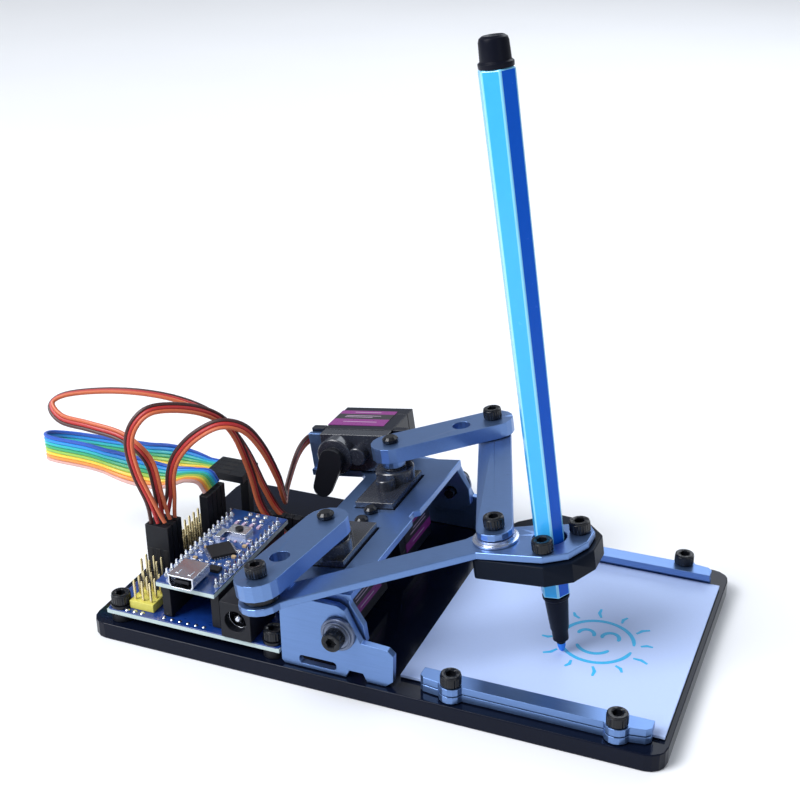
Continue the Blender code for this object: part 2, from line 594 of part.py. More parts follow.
def build_crank(name, shaft, elbow, low, axis):
    heading = math.atan2(elbow[1] - shaft[1], elbow[0] - shaft[0])
    outline = bar_outline(shaft, elbow, CRANK_RADIUS)
    spare = polar(elbow, heading + math.pi, 10.0)
    holes = [circle(*shaft, 1.6, 12), circle(*elbow, SCREW_HOLE, 12), circle(*spare, 2.75, 16)]
    crank = slab(name, "aluminium", outline, holes, low, low + CRANK_THICKNESS, axis)
    mesh_tool = bmesh.new()
    hub_low = PLATE_BOTTOM - GAP + EAR_FROM_TOP + BOSS_HEIGHT + GAP
    add_ring(mesh_tool, [(1.9, hub_low), (3.5, hub_low), (3.5, low + 1.0), (1.9, low + 1.0)], 16)
    place = Matrix.Translation((*shaft, 0))
    bmesh.ops.transform(mesh_tool, matrix=place, verts=mesh_tool.verts)
    combine(crank, finish_object(mesh_tool, f"{name}_hub", "aluminium", axis), "UNION")
    top = low + CRANK_THICKNESS
    profile = [(1.1, hub_low + 0.3), (1.1, top + GAP), (2.4, top + GAP), (2.4, top + 1.2),
               (1.6, top + 1.9)]
    turned(f"{name}_axle_screw", "steel", profile, place, axis, steps=14)


def build_linkage(axis):
    wrist = wrist_point()
    build_crank("crank_near", SHAFT_NEAR, ELBOW_NEAR, NEAR_CRANK_BOTTOM, axis)
    build_crank("crank_far", SHAFT_FAR, ELBOW_FAR, FAR_CRANK_BOTTOM, axis)
    near_head = NEAR_CRANK_BOTTOM + CRANK_THICKNESS + GAP
    socket_screw("elbow_screw_near", *ELBOW_NEAR, near_head, LINK_BOTTOM - 1.4, axis,
                 collars=[(4.7, LINK_TOP + GAP, NEAR_CRANK_BOTTOM - GAP)])
    far_head = FAR_CRANK_BOTTOM + CRANK_THICKNESS + GAP
    socket_screw("elbow_screw_far", *ELBOW_FAR, far_head, LINK_BOTTOM - 0.6, axis,
                 collars=[(2.75, LINK_BOTTOM + 0.2, SHORT_LINK_BOTTOM - GAP)])
    build_long_link(wrist, axis)
    build_short_link(wrist, axis)
    build_pen_holder(wrist, axis)
    build_pen(axis)


SHORT_LINK_BOTTOM, SHORT_LINK_TOP = 16.7, 18.6
WRIST_CLEARANCE = 4.3
PEN_SCREWS = [(49.2, -20.5), (55.8, -9.2)]


def pen_block_outline(grow):
    """The many-sided block around the pen, grown outwards by a margin."""
    corners = [(32.0, -22.6), (49.8, -23.8), (55.8, -20.8), (59.2, -14.2), (59.4, -6.6),
               (53.8, 0.2), (45.0, 3.0), (37.0, -2.4), (29.6, -13.4)]
    centre = Vector((46.0, -12.5))
    grown = []
    for corner in corners:
        offset = Vector(corner) - centre
        grown.append(tuple(centre + offset * (1 + grow / offset.length)))
    return grown


PEN_PLATE = [(49.8, -23.8), (55.8, -20.8), (59.2, -14.2), (59.4, -8.4), (57.2, -4.8), (46.0, -6.4),
             (38.0, -8.8), (31.0, -11.2)]


def pen_holes():
    return [circle(*hole, SCREW_HOLE, 12) for hole in PEN_SCREWS] + [
        circle(PEN_U, PEN_Y, PEN_BOTTOM_RADIUS + 0.45, 24)]


def build_long_link(wrist, axis):
    """One flat piece: the bar from the near elbow and the plate that carries the pen."""
    holes = [circle(*ELBOW_NEAR, SCREW_HOLE, 12)]
    heading = math.atan2(wrist[1] - ELBOW_NEAR[1], wrist[0] - ELBOW_NEAR[0])
    side = heading + math.pi / 2
    half = 4.3
    neck = polar(ELBOW_NEAR, heading, 6.4)
    round_end = [polar(ELBOW_NEAR, heading + math.radians(50 + 260 * i / 12), CRANK_RADIUS)
                 for i in range(13)]
    outline = [polar(neck, side, half), *round_end, polar(neck, side, -half)]
    reach = LINK_LENGTH - 7.0
    meet = polar(ELBOW_NEAR, heading, reach)
    outline += [polar(meet, side, -half), *PEN_PLATE, polar(meet, side, half)]
    holes += pen_holes() + [circle(*wrist, WRIST_CLEARANCE, 20)]
    slab("long_link", "aluminium", outline, holes, LINK_BOTTOM, LINK_TOP, axis)


def build_pen_holder(wrist, axis):
    block_bottom, block_top = LINK_BOTTOM - GAP - 5.7, LINK_BOTTOM - GAP
    outer = pen_block_outline(1.4)
    slab("pen_block", "black_plastic", outer,
         pen_holes() + [circle(*wrist, WRIST_CLEARANCE, 20)], block_bottom, block_top, axis)
    for number, (u, y) in enumerate(PEN_SCREWS, 1):
        socket_screw(f"pen_block_screw_{number}", u, y, LINK_TOP + GAP, block_bottom + 0.5, axis)


def build_short_link(wrist, axis):
    outline = bar_outline(ELBOW_FAR, wrist, 4.9)
    holes = [circle(*ELBOW_FAR, SCREW_HOLE, 12), circle(*wrist, SCREW_HOLE, 12)]
    slab("short_link", "aluminium", outline, holes, SHORT_LINK_BOTTOM, SHORT_LINK_TOP, axis)
    socket_screw("wrist_screw", *wrist, SHORT_LINK_TOP + GAP, LINK_BOTTOM - 4.4, axis,
                 collars=[(5.7, LINK_TOP + 0.2, SHORT_LINK_BOTTOM - 0.2)])


def hexagon_rod(name, slot, low, high, low_radius, high_radius, axis):
    mesh_tool = bmesh.new()
    rings = []
    for height, radius in ((low, low_radius), (high, high_radius)):
        corners = circle(PEN_U, PEN_Y, radius, 6, math.radians(-2))
        rings.append([mesh_tool.verts.new((x, y, height)) for x, y in corners])
    for i in range(6):
        j = (i + 1) % 6
        mesh_tool.faces.new((rings[0][i], rings[0][j], rings[1][j], rings[1][i]))
    mesh_tool.faces.new(rings[0])
    mesh_tool.faces.new(rings[1])
    return finish_object(mesh_tool, name, slot, axis, smooth=False)


def build_pen(axis):
    hexagon_rod("pen_barrel", "pen_blue", BARREL_BOTTOM_W, BARREL_TOP_W,
                PEN_BOTTOM_RADIUS, PEN_TOP_RADIUS, axis)
    at_pen = Matrix.Translation((PEN_U, PEN_Y, 0))
    nose = [(0.55, PEN_TIP_W), (1.25, PEN_TIP_W + 1.0), (1.4, NOSE_W), (2.1, NOSE_W),
            (2.2, NOSE_W + 3.5), (3.3, BARREL_BOTTOM_W - GAP)]
    turned("pen_nose", "pen_black", nose, at_pen, axis, steps=16)
    cap = [(4.0, BARREL_TOP_W + GAP), (3.3, BARREL_TOP_W + 2.0), (3.1, PEN_TOP_W - 1.0),
           (2.4, PEN_TOP_W)]
    turned("pen_end_cap", "pen_black", cap, at_pen, axis, steps=16)


def main():
    clear_scene()
    bpy.context.scene.unit_settings.system = "METRIC"
    build_base()
    build_side_plates()
    build_pivots()
    build_rails()
    build_electronics()
    build_cords()
    axis = tilt_empty()
    build_tilt_frame(axis)
    build_servos(axis)
    build_lift_horn(axis)
    build_linkage(axis)


main()
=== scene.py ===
"""Looks for a desktop drawing robot: a five-bar arm on a tilting frame moves a pen over a card.

Sizes below are in millimetres in the frame's own axes; MM turns them into metres. Pieces of the
tilting frame are drawn in its own plane (U, Y, W) and TILTED leans them back into place.
"""

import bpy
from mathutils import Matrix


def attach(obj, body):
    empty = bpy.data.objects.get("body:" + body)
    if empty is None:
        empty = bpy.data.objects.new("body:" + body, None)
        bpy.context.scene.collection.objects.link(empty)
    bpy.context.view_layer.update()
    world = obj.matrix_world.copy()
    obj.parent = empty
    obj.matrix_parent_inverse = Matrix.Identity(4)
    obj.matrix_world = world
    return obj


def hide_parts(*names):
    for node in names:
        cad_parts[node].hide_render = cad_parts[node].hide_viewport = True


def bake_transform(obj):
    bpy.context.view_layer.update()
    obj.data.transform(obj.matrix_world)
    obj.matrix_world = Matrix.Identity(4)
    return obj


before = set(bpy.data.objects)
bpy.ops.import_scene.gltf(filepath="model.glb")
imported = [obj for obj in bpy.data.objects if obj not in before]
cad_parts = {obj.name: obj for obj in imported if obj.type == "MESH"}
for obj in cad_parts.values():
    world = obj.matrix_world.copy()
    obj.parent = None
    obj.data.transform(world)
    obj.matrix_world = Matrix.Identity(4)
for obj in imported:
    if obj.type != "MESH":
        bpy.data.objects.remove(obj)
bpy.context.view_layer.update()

import math

import bmesh
import bpy
from mathutils import Matrix, Vector, geometry

MM = 0.001
UPRIGHT = Matrix.Identity(4)

# The tilting frame: where its pivots are, and how far it leans at rest
PIVOT_X, PIVOT_Z, PIVOT_FACE = -4.2, 18.6, 43.3
LEAN = math.radians(8.0)
TILTED = Matrix.Translation((PIVOT_X, 0.0, PIVOT_Z)) @ Matrix.Rotation(-LEAN, 4, "Y")

# ---- Camera ----------------------------------------------------------------------------------

CAMERA_PLACE = Vector((0.1216, -0.3007, 0.2125))
AZIMUTH, ELEVATION, ROLL = math.radians(22.77), math.radians(24.24), math.radians(-0.735)
LENS, SENSOR = 59.83, 36.0


def add_camera():
    forward = Vector((-math.sin(AZIMUTH) * math.cos(ELEVATION),
                      math.cos(AZIMUTH) * math.cos(ELEVATION), -math.sin(ELEVATION)))
    level = forward.cross(Vector((0, 0, 1))).normalized()
    right = math.cos(ROLL) * level - math.sin(ROLL) * forward.cross(level)
    up = right.cross(forward)
    data = bpy.data.cameras.new("camera")
    data.lens, data.sensor_width = LENS, SENSOR
    data.clip_start, data.clip_end = 0.01, 20.0
    camera = bpy.data.objects.new("camera", data)
    turn = Matrix((right, up, -forward)).transposed().to_4x4()
    camera.matrix_world = Matrix.Translation(CAMERA_PLACE) @ turn
    bpy.context.scene.collection.objects.link(camera)
    bpy.context.scene.camera = camera


add_camera()

# ---- Materials -------------------------------------------------------------------------------


def surface(name, colour, roughness, metallic=0.0, stretch=(1, 1, 1), scale=900.0, mottle=0.12,
            spread=0.08, bump=0.05, coat=0.0, specular=0.5):
    """A material whose colour, roughness and relief all vary with a fine grain."""
    made = bpy.data.materials.new(name)
    made.use_nodes = True
    nodes, links = made.node_tree.nodes, made.node_tree.links
    shader = nodes["Principled BSDF"]
    shader.inputs["Metallic"].default_value = metallic
    shader.inputs["Coat Weight"].default_value = coat
    shader.inputs["Coat Roughness"].default_value = 0.06
    shader.inputs["Specular IOR Level"].default_value = specular
    coords = nodes.new("ShaderNodeTexCoord")
    mapping = nodes.new("ShaderNodeMapping")
    mapping.inputs["Scale"].default_value = stretch
    links.new(coords.outputs["Object"], mapping.inputs["Vector"])
    grain = nodes.new("ShaderNodeTexNoise")
    grain.inputs["Scale"].default_value = scale
    grain.inputs["Detail"].default_value = 4.0
    links.new(mapping.outputs["Vector"], grain.inputs["Vector"])
    mix = nodes.new("ShaderNodeMix")
    mix.data_type = "RGBA"
    mix.inputs[6].default_value = (*[c * (1 - mottle) for c in colour], 1)
    mix.inputs[7].default_value = (*[min(1.0, c * (1 + mottle)) for c in colour], 1)
    links.new(grain.outputs["Fac"], mix.inputs[0])
    links.new(mix.outputs[2], shader.inputs["Base Color"])
    rough = nodes.new("ShaderNodeMapRange")
    rough.inputs["To Min"].default_value = max(0.02, roughness - spread)
    rough.inputs["To Max"].default_value = min(1.0, roughness + spread)
    links.new(grain.outputs["Fac"], rough.inputs["Value"])
    links.new(rough.outputs["Result"], shader.inputs["Roughness"])
    relief = nodes.new("ShaderNodeBump")
    relief.inputs["Strength"].default_value = bump
    relief.inputs["Distance"].default_value = 0.0002
    links.new(grain.outputs["Fac"], relief.inputs["Height"])
    links.new(relief.outputs["Normal"], shader.inputs["Normal"])
    return made


BRUSHED = (0.06, 1.0, 1.0)
ACRYLIC = surface("black_acrylic", (0.003, 0.005, 0.014), 0.12, coat=0.03, bump=0.01, scale=120.0,
                  specular=0.12)
BLUE_METAL = surface("blue_aluminium", (0.145, 0.250, 0.50), 0.31, 0.87, BRUSHED, 2600.0, 0.10,
                     0.07, 0.03)
PALE_METAL = surface("bright_aluminium", (0.52, 0.57, 0.70), 0.24, 0.95, BRUSHED, 2600.0, 0.08,
                     0.08, 0.08)
DULL_METAL = surface("dull_aluminium", (0.16, 0.19, 0.27), 0.38, 0.9, scale=2200.0, bump=0.06)
STEEL = surface("bright_steel", (0.62, 0.65, 0.72), 0.22, 1.0, scale=1800.0, bump=0.04)
BLACK_STEEL = surface("blackened_steel", (0.005, 0.006, 0.009), 0.24, 0.0, scale=2200.0, bump=0.05,
                      specular=0.32)
BLACK_PLASTIC = surface("black_plastic", (0.007, 0.008, 0.012), 0.42, scale=2600.0, bump=0.10,
                        specular=0.22)
PEN_BLOCK = surface("black_nylon", (0.003, 0.006, 0.014), 0.36, scale=1600.0, bump=0.10,
                    specular=0.09)
SERVO_SHELL = surface("servo_shell", (0.006, 0.008, 0.016), 0.30, scale=2000.0, bump=0.06,
                      specular=0.25)
SMOKED = surface("smoked_shell", (0.020, 0.023, 0.034), 0.26, scale=1500.0, coat=0.3)
BOARD_BLUE = surface("board_blue", (0.006, 0.035, 0.20), 0.30, scale=420.0, mottle=0.45, coat=0.25)
BOARD_EDGE = surface("board_edge", (0.45, 0.55, 0.55), 0.6, scale=1500.0)
MODULE_BLUE = surface("module_blue", (0.006, 0.045, 0.19), 0.30, scale=520.0, mottle=0.4, coat=0.2)
GOLD = surface("gilt_pins", (0.72, 0.62, 0.36), 0.28, 0.9, scale=1500.0)
TIN = surface("tinned", (0.72, 0.75, 0.80), 0.25, 1.0, scale=1500.0)
CHIP = surface("chip_resin", (0.010, 0.010, 0.012), 0.5, scale=3000.0, bump=0.1, specular=0.25)
CERAMIC = surface("capacitor_tan", (0.42, 0.30, 0.17), 0.5, scale=2200.0)
YELLOW = surface("yellow_nylon", (0.60, 0.55, 0.10), 0.42, scale=2000.0)
MAGENTA = surface("label_magenta", (0.20, 0.016, 0.18), 0.30, scale=1600.0, coat=0.3)
LABEL_BLACK = surface("label_black", (0.012, 0.010, 0.016), 0.30, scale=1600.0, coat=0.3)
LABEL_PALE = surface("label_pale", (0.46, 0.34, 0.46), 0.35, scale=1600.0)
BROWN_WIRE = surface("brown_wire", (0.055, 0.014, 0.012), 0.42, scale=1800.0)
RED_WIRE = surface("red_wire", (0.42, 0.022, 0.022), 0.40, scale=1800.0)
ORANGE_WIRE = surface("orange_wire", (0.54, 0.12, 0.045), 0.40, scale=1800.0)
PEN_BLUE = surface("pen_blue", (0.040, 0.39, 0.82), 0.24, scale=500.0, mottle=0.05, bump=0.01,
                   coat=0.2, specular=0.3)
# Painted shade: a deeper blue put on two of the barrel's facets for the shade on the pen's unlit
# side.
PEN_PAINTED_SHADE = surface("pen_painted_shade_blue", (0.001, 0.10, 0.62), 0.24, scale=500.0, mottle=0.05, bump=0.01,
                   specular=0.2)
# Painted highlight: a paler blue put on the barrel's rounded edges for the light they catch.
PEN_PAINTED_HIGHLIGHT = surface("pen_edge_painted_highlight", (0.22, 0.62, 0.90), 0.20, scale=500.0, mottle=0.05, bump=0.01,
                   coat=0.7)
PEN_BLACK = surface("pen_black", (0.003, 0.004, 0.010), 0.35, scale=2000.0, bump=0.06,
                    specular=0.12)
FELT = surface("felt_tip", (0.02, 0.22, 0.85), 0.75, scale=5000.0, mottle=0.25, bump=0.4)
CARD_WHITE = surface("card_paper", (0.44, 0.56, 0.86), 0.62, scale=1400.0, mottle=0.03, bump=0.12)
INK = surface("cyan_ink", (0.015, 0.42, 0.78), 0.55, scale=2400.0, mottle=0.25)
RIBBON_COLOURS = [surface(f"ribbon_{name}", colour, 0.42, scale=1600.0) for name, colour in (
    ("pink", (0.62, 0.36, 0.32)), ("orange", (0.80, 0.28, 0.06)), ("yellow", (0.78, 0.56, 0.06)),
    ("lime", (0.30, 0.50, 0.08)), ("green", (0.04, 0.36, 0.16)), ("teal", (0.02, 0.42, 0.46)),
    ("azure", (0.02, 0.26, 0.72)), ("blue", (0.02, 0.09, 0.46)))]

# ---- Building pieces -------------------------------------------------------------------------


def circle(cx, cy, radius, steps=32, start=0.0):
    turn = 2 * math.pi / steps
    return [(cx + radius * math.cos(start + i * turn), cy + radius * math.sin(start + i * turn))
            for i in range(steps)]


def rectangle(x0, x1, y0, y1):
    return [(x0, y0), (x1, y0), (x1, y1), (x0, y1)]


def add_slab(tool, outline, low, high, holes=(), place=UPRIGHT, index=0):
    """A flat slab between two heights. Without holes each end is a single face."""
    old, old_verts = set(tool.faces), set(tool.verts)
    loops = [[tool.verts.new((x, y, low)) for x, y in loop] for loop in [outline, *holes]]
    if holes:
        edges = [tool.edges.new(pair) for loop in loops for pair in zip(loop, loop[1:] + loop[:1])]
        bmesh.ops.triangle_fill(tool, use_beauty=True, use_dissolve=False, edges=edges)
    else:
        tool.faces.new(loops[0])
    bottom = [face for face in tool.faces if face not in old]
    raised = bmesh.ops.extrude_face_region(tool, geom=bottom)["geom"]
    top = [item for item in raised if isinstance(item, bmesh.types.BMVert)]
    bmesh.ops.translate(tool, verts=top, vec=(0, 0, high - low))
    fresh = [vert for vert in tool.verts if vert not in old_verts]
    bmesh.ops.transform(tool, matrix=place, verts=fresh)
    for face in tool.faces:
        if face not in old:
            face.material_index = index


def add_block(tool, x, y, z, place=UPRIGHT, index=0):
    add_slab(tool, rectangle(*x, *y), *z, place=place, index=index)


def add_stack(tool, rings, place=UPRIGHT, index=0, hollow=False):
    """Skins a stack of equal rings of points, with a face on each end or closed on itself."""
    made = [[tool.verts.new(place @ Vector(point)) for point in ring] for ring in rings]
    faces = []
    for lower, upper in zip(made, made[1:] + (made[:1] if hollow else [])):
        for i in range(len(lower)):
            j = (i + 1) % len(lower)
            faces.append(tool.faces.new((lower[i], lower[j], upper[j], upper[i])))
    if not hollow:
        faces += [tool.faces.new(made[0]), tool.faces.new(made[-1])]
    for face in faces:
        face.material_index = index


def add_turned(tool, profile, place=UPRIGHT, steps=32, index=0, hollow=False):
    rings = [[(x, y, height) for x, y in circle(0, 0, radius, steps)] for radius, height in profile]
    add_stack(tool, rings, place, index, hollow)


def mesh_object(name, tool, materials):
    """Turns a bmesh in millimetres into an object in the scene."""
    bmesh.ops.scale(tool, vec=(MM, MM, MM), verts=tool.verts)
    bmesh.ops.recalc_face_normals(tool, faces=tool.faces)
    mesh = bpy.data.meshes.new(name)
    tool.to_mesh(mesh)
    tool.free()
    for material in materials if isinstance(materials, list) else [materials]:
        mesh.materials.append(material)
    made = bpy.data.objects.new(name, mesh)
    bpy.context.scene.collection.objects.link(made)
    return made


def make(name, tool, materials, body, replaces=(), bevel=0.0, segments=2, angle=32):
    """A finished piece with smooth shading that rides on a body, if one is given."""
    piece = mesh_object(name, tool, materials)
    piece.data.shade_smooth()
    piece.data.set_sharp_from_angle(angle=math.radians(angle))
    if bevel:
        round_edges(piece, bevel, segments, angle)
    if body:
        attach(piece, body)
    if replaces:
        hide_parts(*replaces)
    return piece


def round_edges(piece, width, segments=2, angle=32):
    bevel = piece.modifiers.new("round_edges", "BEVEL")
    bevel.width = width * MM
    bevel.segments = segments
    bevel.limit_method = "ANGLE"
    bevel.angle_limit = math.radians(angle)
    bevel.harden_normals = True


def finish_node(name, material, bevel=0.0, angle=40):
    """Gives a CAD solid that stays its material and, where it needs them, rounded edges."""
    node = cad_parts[name]
    for place in node.material_slots:
        place.material = material
    if bevel:
        weld = node.modifiers.new("weld", "WELD")
        weld.merge_threshold = 2e-6
        round_edges(node, bevel, angle=angle)


def smooth_path(points, steps):
    """Points on a smooth curve through the given ones, closer together than the route's own."""
    vectors = [Vector(point) for point in points]
    ends = [2 * vectors[0] - vectors[1], *vectors, 2 * vectors[-1] - vectors[-2]]
    path = []
    for a, b, c, d in zip(ends, ends[1:], ends[2:], ends[3:]):
        for i in range(steps):
            t = i / steps
            path.append(0.5 * (2 * b + (c - a) * t + (2 * a - 5 * b + 4 * c - d) * t**2
                               + (3 * b - a - 3 * c + d) * t**3))
    return [*path, vectors[-1]]


def path_length(path):
    return sum((b - a).length for a, b in zip(path, path[1:]))


# ---- Cords -----------------------------------------------------------------------------------

NEAR_LEAD = [(-70, -22.9, 26.4), (-72, -23, 33), (-76, -22.5, 41), (-78.5, -21, 49), (-77, -19, 55),
             (-73, -15.5, 58.3), (-66, -8, 56.5), (-60.5, -2, 52), (-57.5, 2, 45), (-54, 3.5, 33),
             (-51, 3.5, 22), (-45, 4.2, 14), (-35, 1, 12.2), (-26.5, -8, 11.2),
             (-23.6, -11.4, 10.6), (-20.6, -12, 10.4)]
FAR_LEAD = [(-70, -20.3, 26.4), (-71.5, -19.3, 34.5), (-75, -17.5, 43), (-83.5, -16.5, 48.2),
            (-95.5, -15.5, 49.2), (-106, -14, 49.2), (-111.5, -11, 51.6), (-108.3, -8, 54.1),
            (-97.6, -4, 55.4), (-86, -1, 55.4), (-75.5, 2, 53.5), (-67.5, 5, 49.5),
            (-62, 7.5, 43.5), (-57.5, 9, 35.5), (-53, 9.5, 25), (-48, 10, 17), (-40, 11.5, 13.4),
            (-30, 15.5, 12.2), (-24, 19.4, 10.9), (-20.6, 20, 10.4)]
LIFT_LEAD = [(-70, -17.7, 26.4), (-69.5, -16, 32), (-69.8, -14.5, 38), (-67.7, -13.5, 44),
             (-63, -11, 49.6), (-56.5, -8, 53.2), (-51, -4, 51), (-47.6, 0, 43.5), (-45.5, 4, 33),
             (-46, 8, 25), (-48, 13, 20.5), (-50, 18, 21.5), (-50.5, 24, 26.5), (-51.8, 31, 28),
             (-51.6, 36.5, 29), (-49.4, 40.2, 29.3), (-45.8, 41, 29.4)]
RIBBON = [(-70.6, 10, 28.7), (-77, 10.2, 28.6), (-86, 10.4, 28.4), (-97, 10.4, 28), (-111, 9.5, 28),
          (-120.5, 7.5, 28.6), (-125, 4, 29.6), (-124, 0, 30.6), (-118.5, -2.5, 31.5),
          (-105, -3.6, 32), (-91, -4, 30.6), (-79, -4.2, 30.4), (-70, -4, 32.6), (-65.4, -4, 32.8),
          (-63.2, -4, 29.9)]
STEPS_BETWEEN_POINTS = 6
WIRE_PITCH, WIRE_RADIUS, LEAD_WIDTH = 1.12, 0.58, 3.4
PLUG_PITCH, FANNED_LENGTH = 2.4, 9.0
RIBBON_WIDTH, RIBBON_WIRES, RIBBON_WIRE_RADIUS = 8.9, 8, 0.57


def direction(path, index):
    return (path[min(index + 1, len(path) - 1)] - path[max(index - 1, 0)]).normalized()


def lead_sides(path, first, last):
    """Which way the lead's flat side runs at each point, carried along without needless twist."""
    sides = [(first - first.project(direction(path, 0))).normalized()]
    for index in range(1, len(path)):
        along = direction(path, index)
        sides.append((sides[-1] - sides[-1].project(along)).normalized())
    along = direction(path, len(path) - 1)
    wanted = (last - last.project(along)).normalized()
    twist = math.atan2(sides[-1].cross(wanted).dot(along), sides[-1].dot(wanted))
    if twist > math.pi / 2:
        twist -= math.pi
    if twist < -math.pi / 2:
        twist += math.pi
    turned = []
    for index, side in enumerate(sides):
        share = index / (len(path) - 1)
        share = share * share * (3 - 2 * share)
        turned.append(Matrix.Rotation(twist * share, 3, direction(path, index)) @ side)
    return turned


def add_wire(tool, path, sides, shifts, radius, index, steps=10):
    """One round wire beside the path, shifted along the cord's flat side at each point."""
    rings = []
    for i, (point, side, shift) in enumerate(zip(path, sides, shifts)):
        up = direction(path, i).cross(side).normalized()
        middle = point + side * shift
        rings.append([middle + radius * (math.cos(a) * side + math.sin(a) * up)
                      for a in (2 * math.pi * k / steps for k in range(steps))])
    add_stack(tool, rings, index=index)


def wire_pitch(distance):
    """The wires fan out from the lead's own pitch to the plug's over its first stretch."""
    fanned = max(0.0, 1.0 - distance / FANNED_LENGTH)
    return WIRE_PITCH + (PLUG_PITCH - WIRE_PITCH) * fanned * fanned


def servo_lead(name, route, last):
    """A flat lead of three wires, bent along its route between two points."""
    path = smooth_path(route, STEPS_BETWEEN_POINTS)
    sides = lead_sides(path, Vector((1, 0, 0)), last)
    pitches = [wire_pitch(path_length(path[:index + 1])) for index in range(len(path))]
    tool = bmesh.new()
    for index, place in enumerate((-1, 0, 1)):
        shifts = [place * pitch for pitch in pitches]
        add_wire(tool, path, sides, shifts, WIRE_RADIUS, index)
    piece = make(name, tool, [BROWN_WIRE, RED_WIRE, ORANGE_WIRE], None,
                 [name.replace("three_wire", "servo_lead")])
    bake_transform(piece)


def ribbon_side(path, index):
    """The ribbon stands upright on its loop and lies level where it enters each plug."""
    turn_start, turn_length = (-92.0, 18.0) if index < len(path) / 2 else (-100.0, 30.0)
    share = min(1.0, max(0.0, (path[index].x - turn_start) / turn_length))
    side = Vector((0, math.sin(share * math.pi / 2), math.cos(share * math.pi / 2)))
    along = direction(path, index)
    return (side - side.project(along)).normalized()


def add_ribbon():
    path = smooth_path(RIBBON, STEPS_BETWEEN_POINTS)
    sides = [ribbon_side(path, index) for index in range(len(path))]
    pitch = RIBBON_WIDTH / RIBBON_WIRES
    tool = bmesh.new()
    for wire in range(RIBBON_WIRES):
        shifts = [(wire - (RIBBON_WIRES - 1) / 2) * pitch] * len(path)
        add_wire(tool, path, sides, shifts, RIBBON_WIRE_RADIUS, wire, steps=8)
    piece = make("ribbon_wires", tool, RIBBON_COLOURS, "base", ["ribbon_cable"])


servo_lead("three_wire_near", NEAR_LEAD, Vector((0, 1, 0)))
servo_lead("three_wire_far", FAR_LEAD, Vector((0, 1, 0)))
servo_lead("three_wire_lift", LIFT_LEAD, Vector((0, 0, 1)))
add_ribbon()

# ---- Screws ----------------------------------------------------------------------------------

SCREW_STEPS, SHANK_RADIUS, HEAD_RADIUS, HEAD_HEIGHT = 48, 1.5, 2.75, 3.0
KNURL_DEPTH = 0.955
SOCKET_ACROSS, SOCKET_DEPTH = 2.5, 1.5
SPACER_BORE = 1.6


def hexagon_ring(across, height, steps):
    """A hexagon with as many points as the circles it is joined to."""
    ring = []
    for x, y in circle(0, 0, 1.0, steps):
        angle = math.atan2(y, x)
        radius = across / 2 / math.cos((angle % (math.pi / 3)) - math.pi / 6)
        ring.append((radius * x, radius * y, height))
    return ring


def screw_ring(radius, height):
    return [(x, y, height) for x, y in circle(0, 0, radius, SCREW_STEPS)]


def knurled_ring(height):
    """The head's outline: every second point sits a little deeper."""
    ring = []
    for i, (x, y) in enumerate(circle(0, 0, HEAD_RADIUS, SCREW_STEPS)):
        share = 1.0 if i % 2 else KNURL_DEPTH
        ring.append((share * x, share * y, height))
    return ring


def socket_screw(name, place, head_low, shank_low, body, washers=()):
    """A socket-head screw with a knurled side. A washer is (radius, low, high)."""
    top = head_low + HEAD_HEIGHT
    rings = [screw_ring(SHANK_RADIUS, shank_low)]
    for radius, low, high in washers:
        rings += [screw_ring(SHANK_RADIUS, low), screw_ring(radius, low), screw_ring(radius, high),
                  screw_ring(SHANK_RADIUS, high)]
    rings += [screw_ring(SHANK_RADIUS, head_low), screw_ring(HEAD_RADIUS - 0.15, head_low),
              knurled_ring(head_low + 0.15), knurled_ring(top - 0.55),
              screw_ring(HEAD_RADIUS - 0.13, top - 0.45),
              screw_ring(HEAD_RADIUS - 0.16, top - 0.15),
              screw_ring(HEAD_RADIUS - 0.42, top), screw_ring(1.62, top),
              hexagon_ring(SOCKET_ACROSS, top - 0.18, SCREW_STEPS),
              hexagon_ring(SOCKET_ACROSS, top - SOCKET_DEPTH, SCREW_STEPS)]
    tool = bmesh.new()
    add_stack(tool, rings, place)
    make(name.replace("screw", "socket_head"), tool, BLACK_STEEL, body, [name],
         angle=28)


def spacer(name, place, inner, profile, material, body, bevel=0.12):
    """A ring around a screw: the profile lists (outer radius, height) from below."""
    rings = [(inner, profile[0][1]), *profile, (inner, profile[-1][1])]
    tool = bmesh.new()
    add_turned(tool, rings, place, 40, hollow=True)
    make(name, tool, material, body, bevel=bevel)


def at(x, y, frame_place=UPRIGHT):
    return frame_place @ Matrix.Translation((x, y, 0))


def polar(origin, angle, distance):
    return (origin[0] + distance * math.cos(angle), origin[1] + distance * math.sin(angle))


# The linkage, in the tilting frame's plane
CRANK_LENGTH, LINK_LENGTH = 32.0, 62.0
CRANK_NEAR_ANGLE, CRANK_FAR_ANGLE = math.radians(-97.2), math.radians(37.6)
SHAFT_NEAR, SHAFT_FAR = (-10.1, -22.0), (-10.1, 23.0)
ELBOW_NEAR = polar(SHAFT_NEAR, CRANK_NEAR_ANGLE, CRANK_LENGTH)
ELBOW_FAR = polar(SHAFT_FAR, CRANK_FAR_ANGLE, CRANK_LENGTH)
PEN_SCREWS = [(49.2, -20.5), (55.8, -9.2)]

# The base's screws
SHIELD_POSTS = [(x, y) for x in (-72.6, -25.0) for y in (-40.3, 9.1)]
RAIL_SCREWS = [(x, y) for y in (-41.6, 37.8) for x in (25.7, 68.4)]


def wrist_point():
    """Where the two links meet: the crossing of their circles on the card's side."""
    crossings = geometry.intersect_sphere_sphere_2d(Vector(ELBOW_NEAR), LINK_LENGTH,
                                                    Vector(ELBOW_FAR), LINK_LENGTH)
    return tuple(max(crossings, key=lambda point: point.x))


